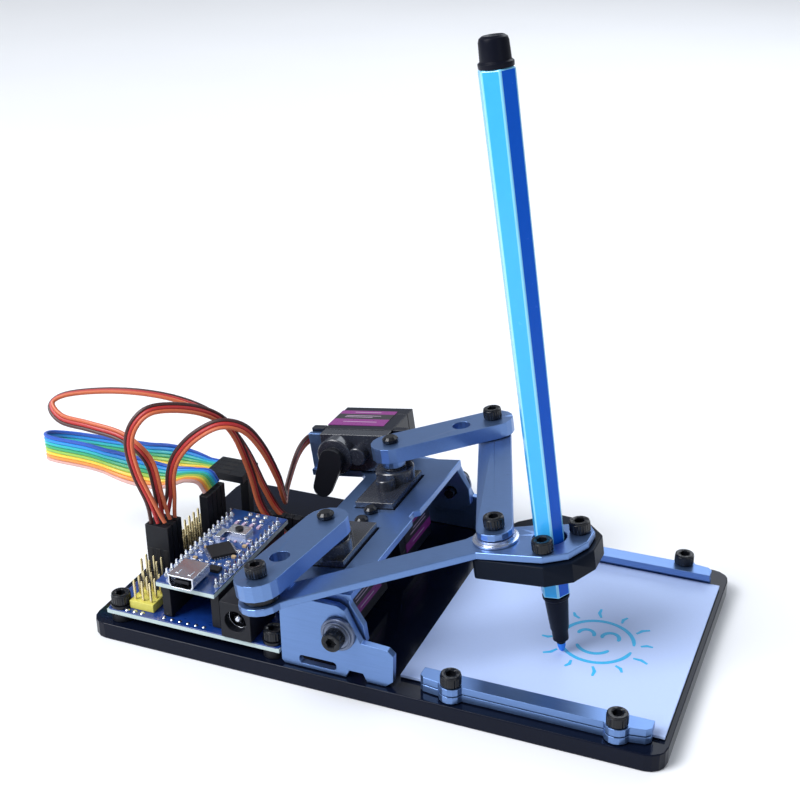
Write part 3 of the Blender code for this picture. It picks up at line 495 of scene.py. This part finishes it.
def add_base_screws():
    for number, (x, y) in enumerate(SHIELD_POSTS, 1):
        socket_screw(f"shield_screw_{number}", at(x, y), head_low=10.2, shank_low=0.8, body="base",
                     washers=[(3.05, 9.25, 10.05)])
        spacer(f"shield_spacer_{number}", at(x, y), SPACER_BORE, [(3.0, 5.1), (3.0, 7.4)],
               BLACK_PLASTIC, "base")
    for number, (x, y) in enumerate(RAIL_SCREWS, 1):
        socket_screw(f"rail_screw_{number}", at(x, y), head_low=9.9, shank_low=0.8, body="base")


def add_pivots():
    """The side plates' bushes and screws. Their heights count outwards from the plate's face."""
    profile = [(2.0, -1.9), (3.9, -1.9), (3.9, 0.2), (4.7, 0.2), (4.7, 1.1), (4.45, 1.3),
               (4.05, 1.3), (4.0, 1.9), (3.7, 1.95), (3.6, 1.7), (2.9, 1.7), (2.85, 2.0),
               (2.0, 2.0)]
    for side, name in ((-1, "near"), (1, "far")):
        facing = Matrix.Rotation(0 if side < 0 else math.pi, 4, "Z")
        outwards = (Matrix.Translation((PIVOT_X, side * PIVOT_FACE, PIVOT_Z)) @ facing
                    @ Matrix.Rotation(math.radians(90), 4, "X"))
        socket_screw(f"pivot_screw_{name}", outwards, head_low=2.3, shank_low=-6.6, body="base")
        tool = bmesh.new()
        add_turned(tool, profile, outwards, 40, hollow=True)
        make(f"pivot_bush_{name}", tool, DULL_METAL, "base", [f"pivot_bearing_{name}"],
             bevel=0.08)


def add_linkage_screws():
    near, far, wrist = (at(*point, TILTED) for point in (ELBOW_NEAR, ELBOW_FAR, wrist_point()))
    socket_screw("elbow_screw_near", near, head_low=21.8, shank_low=11.6, body="elbow_near")
    spacer("elbow_spacer_near", near, SPACER_BORE, [(4.7, 15.15), (4.7, 16.85)], BLACK_STEEL,
           "elbow_near")
    socket_screw("elbow_screw_far", far, head_low=23.7, shank_low=12.4, body="elbow_far",
                 washers=[(2.75, 13.2, 15.9)])
    socket_screw("wrist_screw", wrist, head_low=18.9, shank_low=8.6, body="coupler_far")
    two_steps = [(6.1, 15.12), (6.1, 15.75), (5.35, 15.85), (5.35, 16.6)]
    spacer("wrist_spacer", wrist, SPACER_BORE, two_steps, PALE_METAL, "coupler_far", 0.06)
    for number, point in enumerate(PEN_SCREWS, 1):
        socket_screw(f"pen_block_screw_{number}", at(*point, TILTED), head_low=15.3, shank_low=7.5,
                     body="coupler_near")


add_base_screws()
add_pivots()
add_linkage_screws()

# ---- Servos ----------------------------------------------------------------------------------

# Measured from the shaft, along the case, and downwards from the case's top
SERVO_HALF_WIDTH, SERVO_BACK, SERVO_FRONT = 6.1, -5.9, 16.9
SERVO_LID, SERVO_SEAM, SERVO_BOTTOM = (-4.0, 0.0), (-16.7, -16.3), -21.0
EAR_HEIGHTS = (-6.55, -4.15)
EARS = ((-10.5, -6.1, -8.3), (17.1, 21.5, 19.3))
LABEL_SKIN, LABEL_END = 0.13, 13.0
LABEL_BANDS = ((-18.0, -15.4, 0), (-15.4, -11.6, 1), (-11.6, -6.8, 0))
LABEL_LINES = ((-16.9, -1.0, 8.0), (-14.2, -3.0, 9.0), (-13.2, -3.0, 6.5), (-9.6, -2.0, 9.5))


def servo(name, place, flip):
    """A micro servo with its origin on the shaft at the case's top, long side along Y."""
    def rows(low, high):
        return tuple(sorted((flip * low, flip * high)))

    def inset(amount):
        return ((-SERVO_HALF_WIDTH + amount, SERVO_HALF_WIDTH - amount),
                rows(SERVO_BACK + amount, SERVO_FRONT - amount))

    tool = bmesh.new()
    add_block(tool, *inset(0.12), SERVO_LID, place, 1)
    add_block(tool, *inset(0.0), (-16.4, -4.1), place, 0)
    add_block(tool, *inset(0.0), (SERVO_BOTTOM, -16.55), place, 0)
    add_block(tool, *inset(0.35), SERVO_SEAM, place, 0)
    for low, high, hole in EARS:
        outline = rectangle(-SERVO_HALF_WIDTH, SERVO_HALF_WIDTH, *rows(low, high))
        add_slab(tool, outline, *EAR_HEIGHTS, [circle(0, flip * hole, 1.1, 20)], place, 0)
    make(f"{name}_shell", tool, [SERVO_SHELL, SMOKED], "tilt", [name], 0.28)
    add_gear_cover(name, place, place @ Matrix.Translation((0, flip * 7.2, 0)))
    spacer(f"{name}_output", place, 1.3, [(2.5, 3.5), (2.5, 4.15)], GOLD, "tilt", 0.05)
    reach = SERVO_HALF_WIDTH + LABEL_SKIN
    tool = bmesh.new()
    wrapped = rows(SERVO_BACK - LABEL_SKIN, LABEL_END)
    for low, high, index in LABEL_BANDS:
        add_block(tool, (-reach, reach), wrapped, (low, high), place, index)
    for height, first, last in LABEL_LINES:
        add_block(tool, (-reach - 0.02, reach + 0.02), rows(first, last), (height, height + 0.3),
                  place, 2)
    make(f"{name}_label", tool, [MAGENTA, LABEL_BLACK, LABEL_PALE], "tilt")


def add_gear_cover(name, shaft, second_gear):
    tool = bmesh.new()
    add_turned(tool, [(5.85, -0.6), (5.85, 3.3), (5.5, 3.7), (3.4, 3.75), (3.3, 3.95)], shaft, 48)
    add_turned(tool, [(2.9, -0.6), (2.9, 3.0), (2.6, 3.3)], second_gear, 32)
    make(f"{name}_gear_cover", tool, SMOKED, "tilt", bevel=0.12)


def add_servos():
    """Two servos stand in the frame and turn the cranks. The third lies behind it and lifts it."""
    case_top = 11.8
    servo("servo_near", TILTED @ Matrix.Translation((*SHAFT_NEAR, case_top)), 1)
    servo("servo_far", TILTED @ Matrix.Translation((*SHAFT_FAR, case_top)), -1)
    lying = (Matrix.Translation((-31.1, 29.2, 16.4)) @ Matrix.Rotation(math.radians(90), 4, "X")
             @ Matrix.Rotation(math.radians(-90), 4, "Z"))
    servo("servo_lift", TILTED @ lying, 1)


add_servos()

# ---- Control electronics ---------------------------------------------------------------------

PITCH = 2.54
MODULE_X, MODULE_Y, MODULE_TOP = -49.6, -21.7, 21.7
SHIELD_X, SHIELD_Y, SHIELD_TOP = (-75.5, -22.1), (-43.2, 12.0), 9.1
SOLDERED = SHIELD_TOP + 0.02
RESIN, TINNED, TAN, PALE = range(4)
PART_MATERIALS = [CHIP, TIN, CERAMIC, LABEL_PALE]


def add_chip(tool, x, y, size, base, turn=0.0, legs=8, tall=1.0, pitch=0.8):
    """A square chip with bent legs on all four sides."""
    place = Matrix.Translation((x, y, base)) @ Matrix.Rotation(math.radians(turn), 4, "Z")
    add_block(tool, (-size, size), (-size, size), (0.15, tall), place, RESIN)
    for quarter in range(4):
        side = place @ Matrix.Rotation(math.radians(90 * quarter), 4, "Z")
        for k in range(legs):
            middle = (k - (legs - 1) / 2) * pitch
            width = (middle - 0.17, middle + 0.17)
            add_block(tool, (size - 0.1, size + 0.5), width, (0.35, 0.55), side, TINNED)
            add_block(tool, (size + 0.4, size + 0.95), width, (0.0, 0.2), side, TINNED)


def add_pin(tool, x, y, low, high, index=0, half=0.31):
    """A square pin with a tapered tip."""
    rings = []
    for reach, height in ((half, low), (half, high - 0.5), (half * 0.5, high)):
        rings.append([(x + a * reach, y + b * reach, height)
                      for a, b in ((-1, -1), (1, -1), (1, 1), (-1, 1))])
    add_stack(tool, rings, index=index)


def add_module_pins():
    """The tips of the module's two header strips, each in its mound of solder."""
    mound = [(0.95, MODULE_TOP - 0.02), (0.9, MODULE_TOP + 0.15), (0.55, MODULE_TOP + 0.7),
             (0.38, MODULE_TOP + 1.1)]
    tool = bmesh.new()
    for side in (-1, 1):
        for k in range(15):
            x, y = MODULE_X + side * 7.62, MODULE_Y + PITCH * (k - 7)
            add_turned(tool, mound, at(x, y), 14)
            add_pin(tool, x, y, MODULE_TOP + 0.9, MODULE_TOP + 2.3, half=0.28)
    make("module_pins", tool, TIN, "base")


def add_module_parts():
    """The small control module's chips, button, lamps, pads and resistors."""
    def part(x, y, height, index):
        across = (MODULE_X + x[0], MODULE_X + x[1])
        add_block(tool, across, y, (MODULE_TOP, MODULE_TOP + height), index=index)

    tool = bmesh.new()
    add_chip(tool, MODULE_X, MODULE_Y - 1.8, 3.4, MODULE_TOP, 45, 8)
    part((-4.6, -2.2), (-33.6, -31.0), 0.8, RESIN)
    part((1.6, 5.0), (-34.0, -31.6), 1.0, RESIN)
    part((-3.1, 3.1), (-14.9, -10.4), 1.5, TINNED)
    part((-5.1, -3.4), (-18.0, -13.2), 1.2, TINNED)
    for k in range(4):
        x = 2.4 * k - 3.6
        part((x - 0.45, x + 0.45), (-8.7, -7.1), 0.6, PALE)
        part((x - 0.5, x + 0.5), (-6.6, -6.0), 0.4, TINNED)
    for k in range(3):
        for row in range(2):
            pad = at(MODULE_X + PITCH * (k - 1), -4.2 + PITCH * row)
            add_turned(tool, [(0.8, MODULE_TOP), (0.5, MODULE_TOP + 0.5)], pad, 12, TINNED)
    for k in range(6):
        x = 1.96 * k - 4.9
        part((x - 0.5, x + 0.5), (-29.9, -29.2), 0.25, TINNED)
        part((x - 0.35, x + 0.35), (-17.6, -16.7), 0.3, PALE if k % 2 else TINNED)
    for k in range(5):
        right, left = -28.6 + 3.1 * k, -29.6 + 3.0 * k
        part((4.3, 5.5), (right, right + 1.0), 0.65, TAN if k % 2 else TINNED)
        part((-5.5, -4.3), (left, left + 0.8), 0.65, TINNED if k % 2 else TAN)
    button = [(1.2, MODULE_TOP + 1.5), (1.2, MODULE_TOP + 2.0), (1.0, MODULE_TOP + 2.1)]
    add_turned(tool, button, at(MODULE_X, -12.65), 24, RESIN)
    make("module_parts", tool, PART_MATERIALS, "base", bevel=0.05)


def add_socket_shell():
    """The data socket: a pressed steel shell, open at its mouth, around a black tongue."""
    low, high, mouth = 22.0, 25.9, -45.0
    lip = [(-3.85, high), (-3.85, low + 1.3), (-3.0, low), (3.0, low), (3.85, low + 1.3),
           (3.85, high)]
    inner = [(-3.4, high - 0.4), (-3.4, low + 1.5), (-2.8, low + 0.4), (2.8, low + 0.4),
             (3.4, low + 1.5), (3.4, high - 0.4)]

    def loop(points, y):
        return [(MODULE_X + x, y, z) for x, z in points]

    tool = bmesh.new()
    add_stack(tool, [loop(lip, -36.0), loop(lip, mouth), loop(inner, mouth), loop(inner, -39.0)])
    for side in (-1, 1):
        spring = MODULE_X + side * 1.9
        add_block(tool, (spring - 0.45, spring + 0.45), (-43.4, -41.2), (high - 0.05, high + 0.12))
    make("socket_shell", tool, STEEL, "base", ["usb_socket"], 0.1)
    tool = bmesh.new()
    add_block(tool, (MODULE_X - 2.3, MODULE_X + 2.3), (-44.6, -38.8), (23.6, 24.5))
    make("socket_tongue", tool, BLACK_PLASTIC, "base", bevel=0.1)


def add_power_jack():
    """The power jack's metal lining and centre pin. Its square body is the CAD's."""
    mouth = Matrix.Translation((-34.3, -44.0, 14.9)) @ Matrix.Rotation(math.radians(90), 4, "X")
    tool = bmesh.new()
    add_turned(tool, [(1.0, -9.3), (1.0, -1.6), (0.6, -1.1)], mouth, 24)
    lining = [(3.12, -9.0), (3.12, -2.2), (2.95, -2.2), (2.95, -9.0)]
    add_turned(tool, lining, mouth, 32, hollow=True)
    make("jack_lining", tool, STEEL, "base", bevel=0.06)


def add_pin_header(name, node, xs, ys, bare, material):
    """Rows of three pins on moulded strips. Only the bare rows have pins that show."""
    strip_height, pin_height = 2.5, 8.8
    tool = bmesh.new()
    for y in ys:
        add_block(tool, (xs[0] - 1.25, xs[-1] + 1.25), (y - 1.22, y + 1.22),
                  (SOLDERED, SOLDERED + strip_height))
    for x in xs:
        for y in bare:
            add_pin(tool, x, y, SOLDERED + strip_height - 0.2, SOLDERED + pin_height, 1)
    make(name, tool, [material, GOLD], "base", [node], 0.22)


def add_headers():
    yellow_rows = [-39.7, -37.2, -34.7]
    add_pin_header("yellow_header", "voltage_header", [-68.24, -65.7, -63.16], yellow_rows,
                   yellow_rows, YELLOW)
    front_rows, plug_rows = [-29.2, -26.7], [-24.0 + PITCH * k for k in range(4)]
    back_rows = [-13.0 + PITCH * k for k in range(7)]
    add_pin_header("servo_pin_header", "servo_header", [-72.54, -70.0, -67.46],
                   [*front_rows, *plug_rows, *back_rows], [*front_rows, *back_rows], BLACK_PLASTIC)


def add_lead_plugs():
    """The three servo leads' plugs, each with a dark window over every contact."""
    for number in range(3):
        y = -22.95 + 2.6 * number
        tool = bmesh.new()
        add_block(tool, (-73.75, -66.25), (y - 1.12, y + 1.12), (SOLDERED + 2.6, 25.9))
        for x in (-72.5, -70.0, -67.5):
            add_block(tool, (x - 0.75, x + 0.75), (y - 1.2, y - 1.0),
                      (SOLDERED + 4.0, SOLDERED + 9.5), index=1)
        make(f"lead_plug_{number + 1}", tool, [BLACK_PLASTIC, CHIP], "base",
             [f"servo_plug_{number + 1}"], 0.2)


def add_ribbon_plugs():
    """The near plug stands on the board. The far one lies above it, on a riser."""
    tool = bmesh.new()
    for k in range(4):
        y = -4.0 + PITCH * (k - 1.5)
        add_block(tool, (-64.6, -61.7), (y - 1.2, y + 1.2), (SOLDERED, 29.3))
    make("ribbon_plug_strip", tool, [BLACK_PLASTIC], "base", ["ribbon_plug_near"],
         0.2)
    tool = bmesh.new()
    for k in range(4):
        y = 10.0 + PITCH * (k - 1.5)
        add_block(tool, (-70.1, -57.9), (y - 1.2, y + 1.2), (27.45, 29.9))
        add_block(tool, (-66.4, -62.6), (y - 0.6, y + 0.6), (29.85, 29.98), index=1)
    add_block(tool, (-69.6, -58.4), (5.3, 14.7), (27.7, 29.6))
    add_block(tool, (-60.95, -58.25), (8.65, 11.35), (SOLDERED, 27.5))
    make("ribbon_far_housing", tool, [BLACK_PLASTIC, CHIP], "base",
         ["ribbon_plug_far"], 0.2)


def add_board_parts():
    """The larger board's chips, regulator, small parts and solder pads."""
    tool = bmesh.new()
    add_chip(tool, -32.0, -18.0, 3.4, SOLDERED, legs=9, tall=1.3, pitch=0.7)
    add_block(tool, (-38.5, -31.5), (-3.5, 0.5), (SOLDERED, SOLDERED + 2.2), index=RESIN)
    add_block(tool, (-37.8, -32.2), (0.4, 2.6), (SOLDERED, SOLDERED + 0.9), index=TINNED)
    for x in (-37.2, -35.0, -32.8):
        add_block(tool, (x - 0.4, x + 0.4), (-5.2, -3.4), (SOLDERED, SOLDERED + 0.6), index=TINNED)
    for k in range(6):
        y = -12.2 + 2.2 * k
        add_block(tool, (-26.6, -25.0), (y, y + 0.9), (SOLDERED, SOLDERED + 0.6),
                  index=TAN if k % 2 else RESIN)
        add_block(tool, (-60.6, -59.4), (y - 22, y - 21.1), (SOLDERED, SOLDERED + 0.6),
                  index=TINNED)
    for k in range(4):
        pad = at(-72.0 + 2.4 * k, -42.1)
        add_turned(tool, [(0.75, SOLDERED), (0.45, SOLDERED + 0.35)], pad, 12, TINNED)
    for k in range(6):
        pad = at(-58.0 + 2.5 * k, -41.8)
        add_turned(tool, [(0.6, SOLDERED), (0.35, SOLDERED + 0.3)], pad, 12, TINNED)
    make("shield_parts", tool, PART_MATERIALS[:3], "base", bevel=0.06)


def add_board_cans():
    """Two round metal capacitors, each with a groove near its foot."""
    tool = bmesh.new()
    for x, y, radius, tall in ((-29.0, -26.5, 2.4, 6.0), (-29.4, 5.4, 2.0, 5.2)):
        top = SOLDERED + tall
        add_turned(tool, [(radius, SOLDERED), (radius, SOLDERED + 0.6),
                          (radius - 0.25, SOLDERED + 0.8), (radius, SOLDERED + 1.0),
                          (radius, top - 0.3), (radius - 0.3, top)], at(x, y), 32)
    make("shield_cans", tool, [PALE_METAL], "base", bevel=0.05)


def add_socket_strip():
    tool = bmesh.new()
    for k in range(6):
        x = -56.0 + PITCH * k
        add_block(tool, (x, x + 2.4), (7.8, 10.2), (SOLDERED, SOLDERED + 8.2))
    make("socket_strip", tool, [BLACK_PLASTIC], "base", bevel=0.15)


def add_board_edges():
    """The pale cut edges that show under each board's blue mask."""
    out, into = 0.06, 0.2
    for name, x, y, z in (("shield_edge", SHIELD_X, SHIELD_Y, (7.5, SHIELD_TOP)),
                          ("module_edge", (-58.5, -40.7), (-43.3, -0.1), (20.1, MODULE_TOP))):
        outer = rectangle(x[0] - out, x[1] + out, y[0] - out, y[1] + out)
        inner = rectangle(x[0] + into, x[1] - into, y[0] + into, y[1] - into)
        tool = bmesh.new()
        add_slab(tool, outer, z[0] + 0.12, z[1] - 0.3, [inner])
        make(name, tool, BOARD_EDGE, "base")


add_module_pins()
add_module_parts()
add_socket_shell()
add_power_jack()
add_headers()
add_lead_plugs()
add_ribbon_plugs()
add_board_parts()
add_board_cans()
add_socket_strip()
add_board_edges()

# ---- Pen -------------------------------------------------------------------------------------

PEN_PLACE = at(48.7, -13.2, TILTED)
BARREL_SIDES, BARREL_TURN = 6, math.radians(-2)
BARREL = ((-1.2, 4.0), (20.0, 4.11), (133.2, 4.7), (133.8, 4.5))
# The barrel facets that take the painted shade.
PAINTED_SHADE_FACETS = (0, 5)


def add_barrel():
    """The six-sided barrel: two facets a deeper blue as painted shade, its rounded edges paler as a
    painted highlight.
    """
    rings = [[(x, y, height) for x, y in circle(0, 0, radius, BARREL_SIDES, BARREL_TURN)]
             for height, radius in BARREL]
    tool = bmesh.new()
    add_stack(tool, rings, PEN_PLACE)
    for number, face in enumerate(tool.faces):
        if number < BARREL_SIDES * (len(rings) - 1) and number % BARREL_SIDES in PAINTED_SHADE_FACETS:
            face.material_index = 2
    barrel = make("pen_barrel_hexagon", tool, [PEN_BLUE, PEN_PAINTED_HIGHLIGHT, PEN_PAINTED_SHADE], "coupler_near",
                  ["pen_barrel"], 0.42, 3)
    # The bevel's faces take the paler painted highlight.
    barrel.modifiers["round_edges"].material = 1


def add_pen_ends():
    """The nose, the felt tip in it, and the cap that closes the barrel's top."""
    nose = [(1.15, -16.4), (1.4, -15.4), (2.1, -15.2), (2.18, -12.4), (2.45, -11.8), (3.15, -3.0),
            (3.25, -2.6), (3.55, -2.4), (3.6, -1.5)]
    felt = [(0.35, -18.93), (0.7, -18.5), (1.05, -17.4), (1.2, -16.0), (1.2, -15.2)]
    cap = [(4.15, 133.85), (4.2, 134.3), (4.2, 135.0), (3.7, 135.4), (3.55, 139.6), (3.3, 140.4),
           (2.5, 140.95), (1.6, 140.6)]
    tool = bmesh.new()
    add_turned(tool, nose, PEN_PLACE, 40)
    make("pen_grip", tool, PEN_BLACK, "coupler_near", ["pen_nose"], 0.1)
    tool = bmesh.new()
    add_turned(tool, felt, PEN_PLACE, 32)
    make("pen_felt", tool, FELT, "coupler_near")
    tool = bmesh.new()
    add_turned(tool, cap, PEN_PLACE, 40)
    make("pen_plug", tool, PEN_BLACK, "coupler_near", ["pen_end_cap"], 0.1)


add_barrel()
add_pen_ends()

# ---- Drawing on the card ---------------------------------------------------------------------

INK_LOW, INK_HIGH, STROKE = 6.09, 6.15, 1.1
SUN_X, SUN_Y, SUN_RADIUS = 54.0, -5.0, 9.8
RAYS, RAY_TURN, RAY_START, RAY_ENDS = 12, 9, 11.6, (14.8, 15.8)


def add_stroke(tool, points):
    """A flat stroke of ink along points on the card, tapering at its ends."""
    rings = []
    for index, (x, y) in enumerate(points):
        ahead = points[min(index + 1, len(points) - 1)]
        behind = points[max(index - 1, 0)]
        heading = math.atan2(ahead[1] - behind[1], ahead[0] - behind[0])
        from_end = min(index, len(points) - 1 - index)
        half = STROKE / 2 * (0.55 if from_end == 0 else 0.9 if from_end == 1 else 1.0)
        side = (-math.sin(heading) * half, math.cos(heading) * half)
        rings.append([(x + a * side[0], y + a * side[1], z)
                      for a, z in ((-1, INK_LOW), (1, INK_LOW), (1, INK_HIGH), (-1, INK_HIGH))])
    add_stack(tool, rings)


def add_arc(tool, x, y, radius, first, last, count=18):
    angles = [math.radians(first + (last - first) * i / (count - 1)) for i in range(count)]
    add_stroke(tool, [polar((x, y), angle, radius) for angle in angles])


def add_drawing():
    """A plain sun: a ring, short bent rays and three small arcs."""
    centre = (SUN_X, SUN_Y)
    tool = bmesh.new()
    add_arc(tool, SUN_X, SUN_Y, SUN_RADIUS, 8, 350, count=48)
    for k in range(RAYS):
        angle = math.radians(360 / RAYS * k + RAY_TURN)
        reach = RAY_ENDS[k % 2]
        add_stroke(tool, [polar(centre, angle, RAY_START),
                          polar(centre, angle + 0.05, (RAY_START + reach) / 2),
                          polar(centre, angle + 0.02, reach)])
    add_arc(tool, SUN_X + 3.0, SUN_Y + 2.8, 2.3, -20, 200)
    add_arc(tool, SUN_X - 3.6, SUN_Y + 2.4, 2.1, -10, 190)
    add_arc(tool, SUN_X - 0.4, SUN_Y - 1.0, 4.8, 205, 335)
    make("drawn_sun", tool, INK, "card")


add_drawing()

# ---- CAD solids that stay --------------------------------------------------------------------


def finish_nodes():
    finish_node("base_plate", ACRYLIC, 0.7)
    for side in ("near", "far"):
        finish_node(f"side_plate_{side}", BLUE_METAL, 0.3)
        for layer in ("lower", "upper"):
            finish_node(f"card_rail_{side}_{layer}", BLUE_METAL, 0.25)
        finish_node(f"crank_{side}", BLUE_METAL, 0.4)
        finish_node(f"crank_{side}_axle_screw", BLACK_STEEL, 0.1)
    finish_node("tilt_frame", BLUE_METAL, 0.25)
    finish_node("long_link", BLUE_METAL, 0.3)
    finish_node("short_link", BLUE_METAL, 0.3)
    finish_node("pen_block", PEN_BLOCK, 0.5)
    finish_node("lift_horn", BLACK_PLASTIC, 0.3)
    finish_node("drawing_card", CARD_WHITE, 0.1)
    finish_node("shield_board", BOARD_BLUE, 0.1)
    finish_node("controller_board", MODULE_BLUE, 0.1)
    finish_node("header_left", BLACK_PLASTIC, 0.15)
    finish_node("header_right", BLACK_PLASTIC, 0.15)
    finish_node("dc_jack", BLACK_PLASTIC, 0.3)
    finish_node("ear_screw_1", BLACK_STEEL, 0.1)
    finish_node("ear_screw_2", BLACK_STEEL, 0.1)


finish_nodes()

# ---- Floor and light -------------------------------------------------------------------------

FLOOR_REACH, FLOOR_TOP, FLOOR_BOTTOM = 3000, -0.05, -10.0


def add_floor():
    tool = bmesh.new()
    outline = rectangle(-FLOOR_REACH, FLOOR_REACH, -FLOOR_REACH, FLOOR_REACH)
    add_slab(tool, outline, FLOOR_BOTTOM, FLOOR_TOP)
    paint = surface("pale_floor", (0.86, 0.87, 0.89), 0.6, scale=8.0, mottle=0.01, bump=0.0)
    mesh_object("floor", tool, paint)


def aimed(name, data, towards):
    """A light that shines along a direction."""
    light = bpy.data.objects.new(name, data)
    light.rotation_euler = towards.to_track_quat("-Z", "Y").to_euler()
    bpy.context.scene.collection.objects.link(light)
    return light


def add_softbox(name, place, target, size, power, colour):
    data = bpy.data.lights.new(name, "AREA")
    data.shape = "RECTANGLE"
    data.size, data.size_y = size
    data.energy, data.color = power, colour
    aimed(name, data, Vector(target) - Vector(place)).location = place


def add_lights():
    """Three softboxes, a wide wash that keeps the floor even, and a pale surround."""
    middle = (0.0, 0.0, 0.03)
    add_softbox("key", (-0.72, -0.72, 0.88), middle, (0.7, 0.7), 15.0, (0.96, 0.97, 1.0))
    add_softbox("back", (0.15, 0.95, 0.75), middle, (1.1, 0.5), 4.5, (0.86, 0.92, 1.0))
    add_softbox("fill", (1.0, -0.6, 0.5), middle, (0.6, 0.9), 1.0, (0.78, 0.86, 1.0))
    wash = bpy.data.lights.new("wash", "SUN")
    wash.energy, wash.angle, wash.color = 1.5, math.radians(35), (0.97, 0.98, 1.0)
    aimed("wash", wash, Vector((0.55, 0.45, -1.0)))
    world = bpy.data.worlds.new("studio")
    world.use_nodes = True
    surround = world.node_tree.nodes["Background"]
    surround.inputs["Color"].default_value = (0.90, 0.94, 1.0, 1.0)
    surround.inputs["Strength"].default_value = 0.38
    bpy.context.scene.world = world


add_floor()
add_lights()
bpy.context.scene.view_settings.view_transform = "Standard"
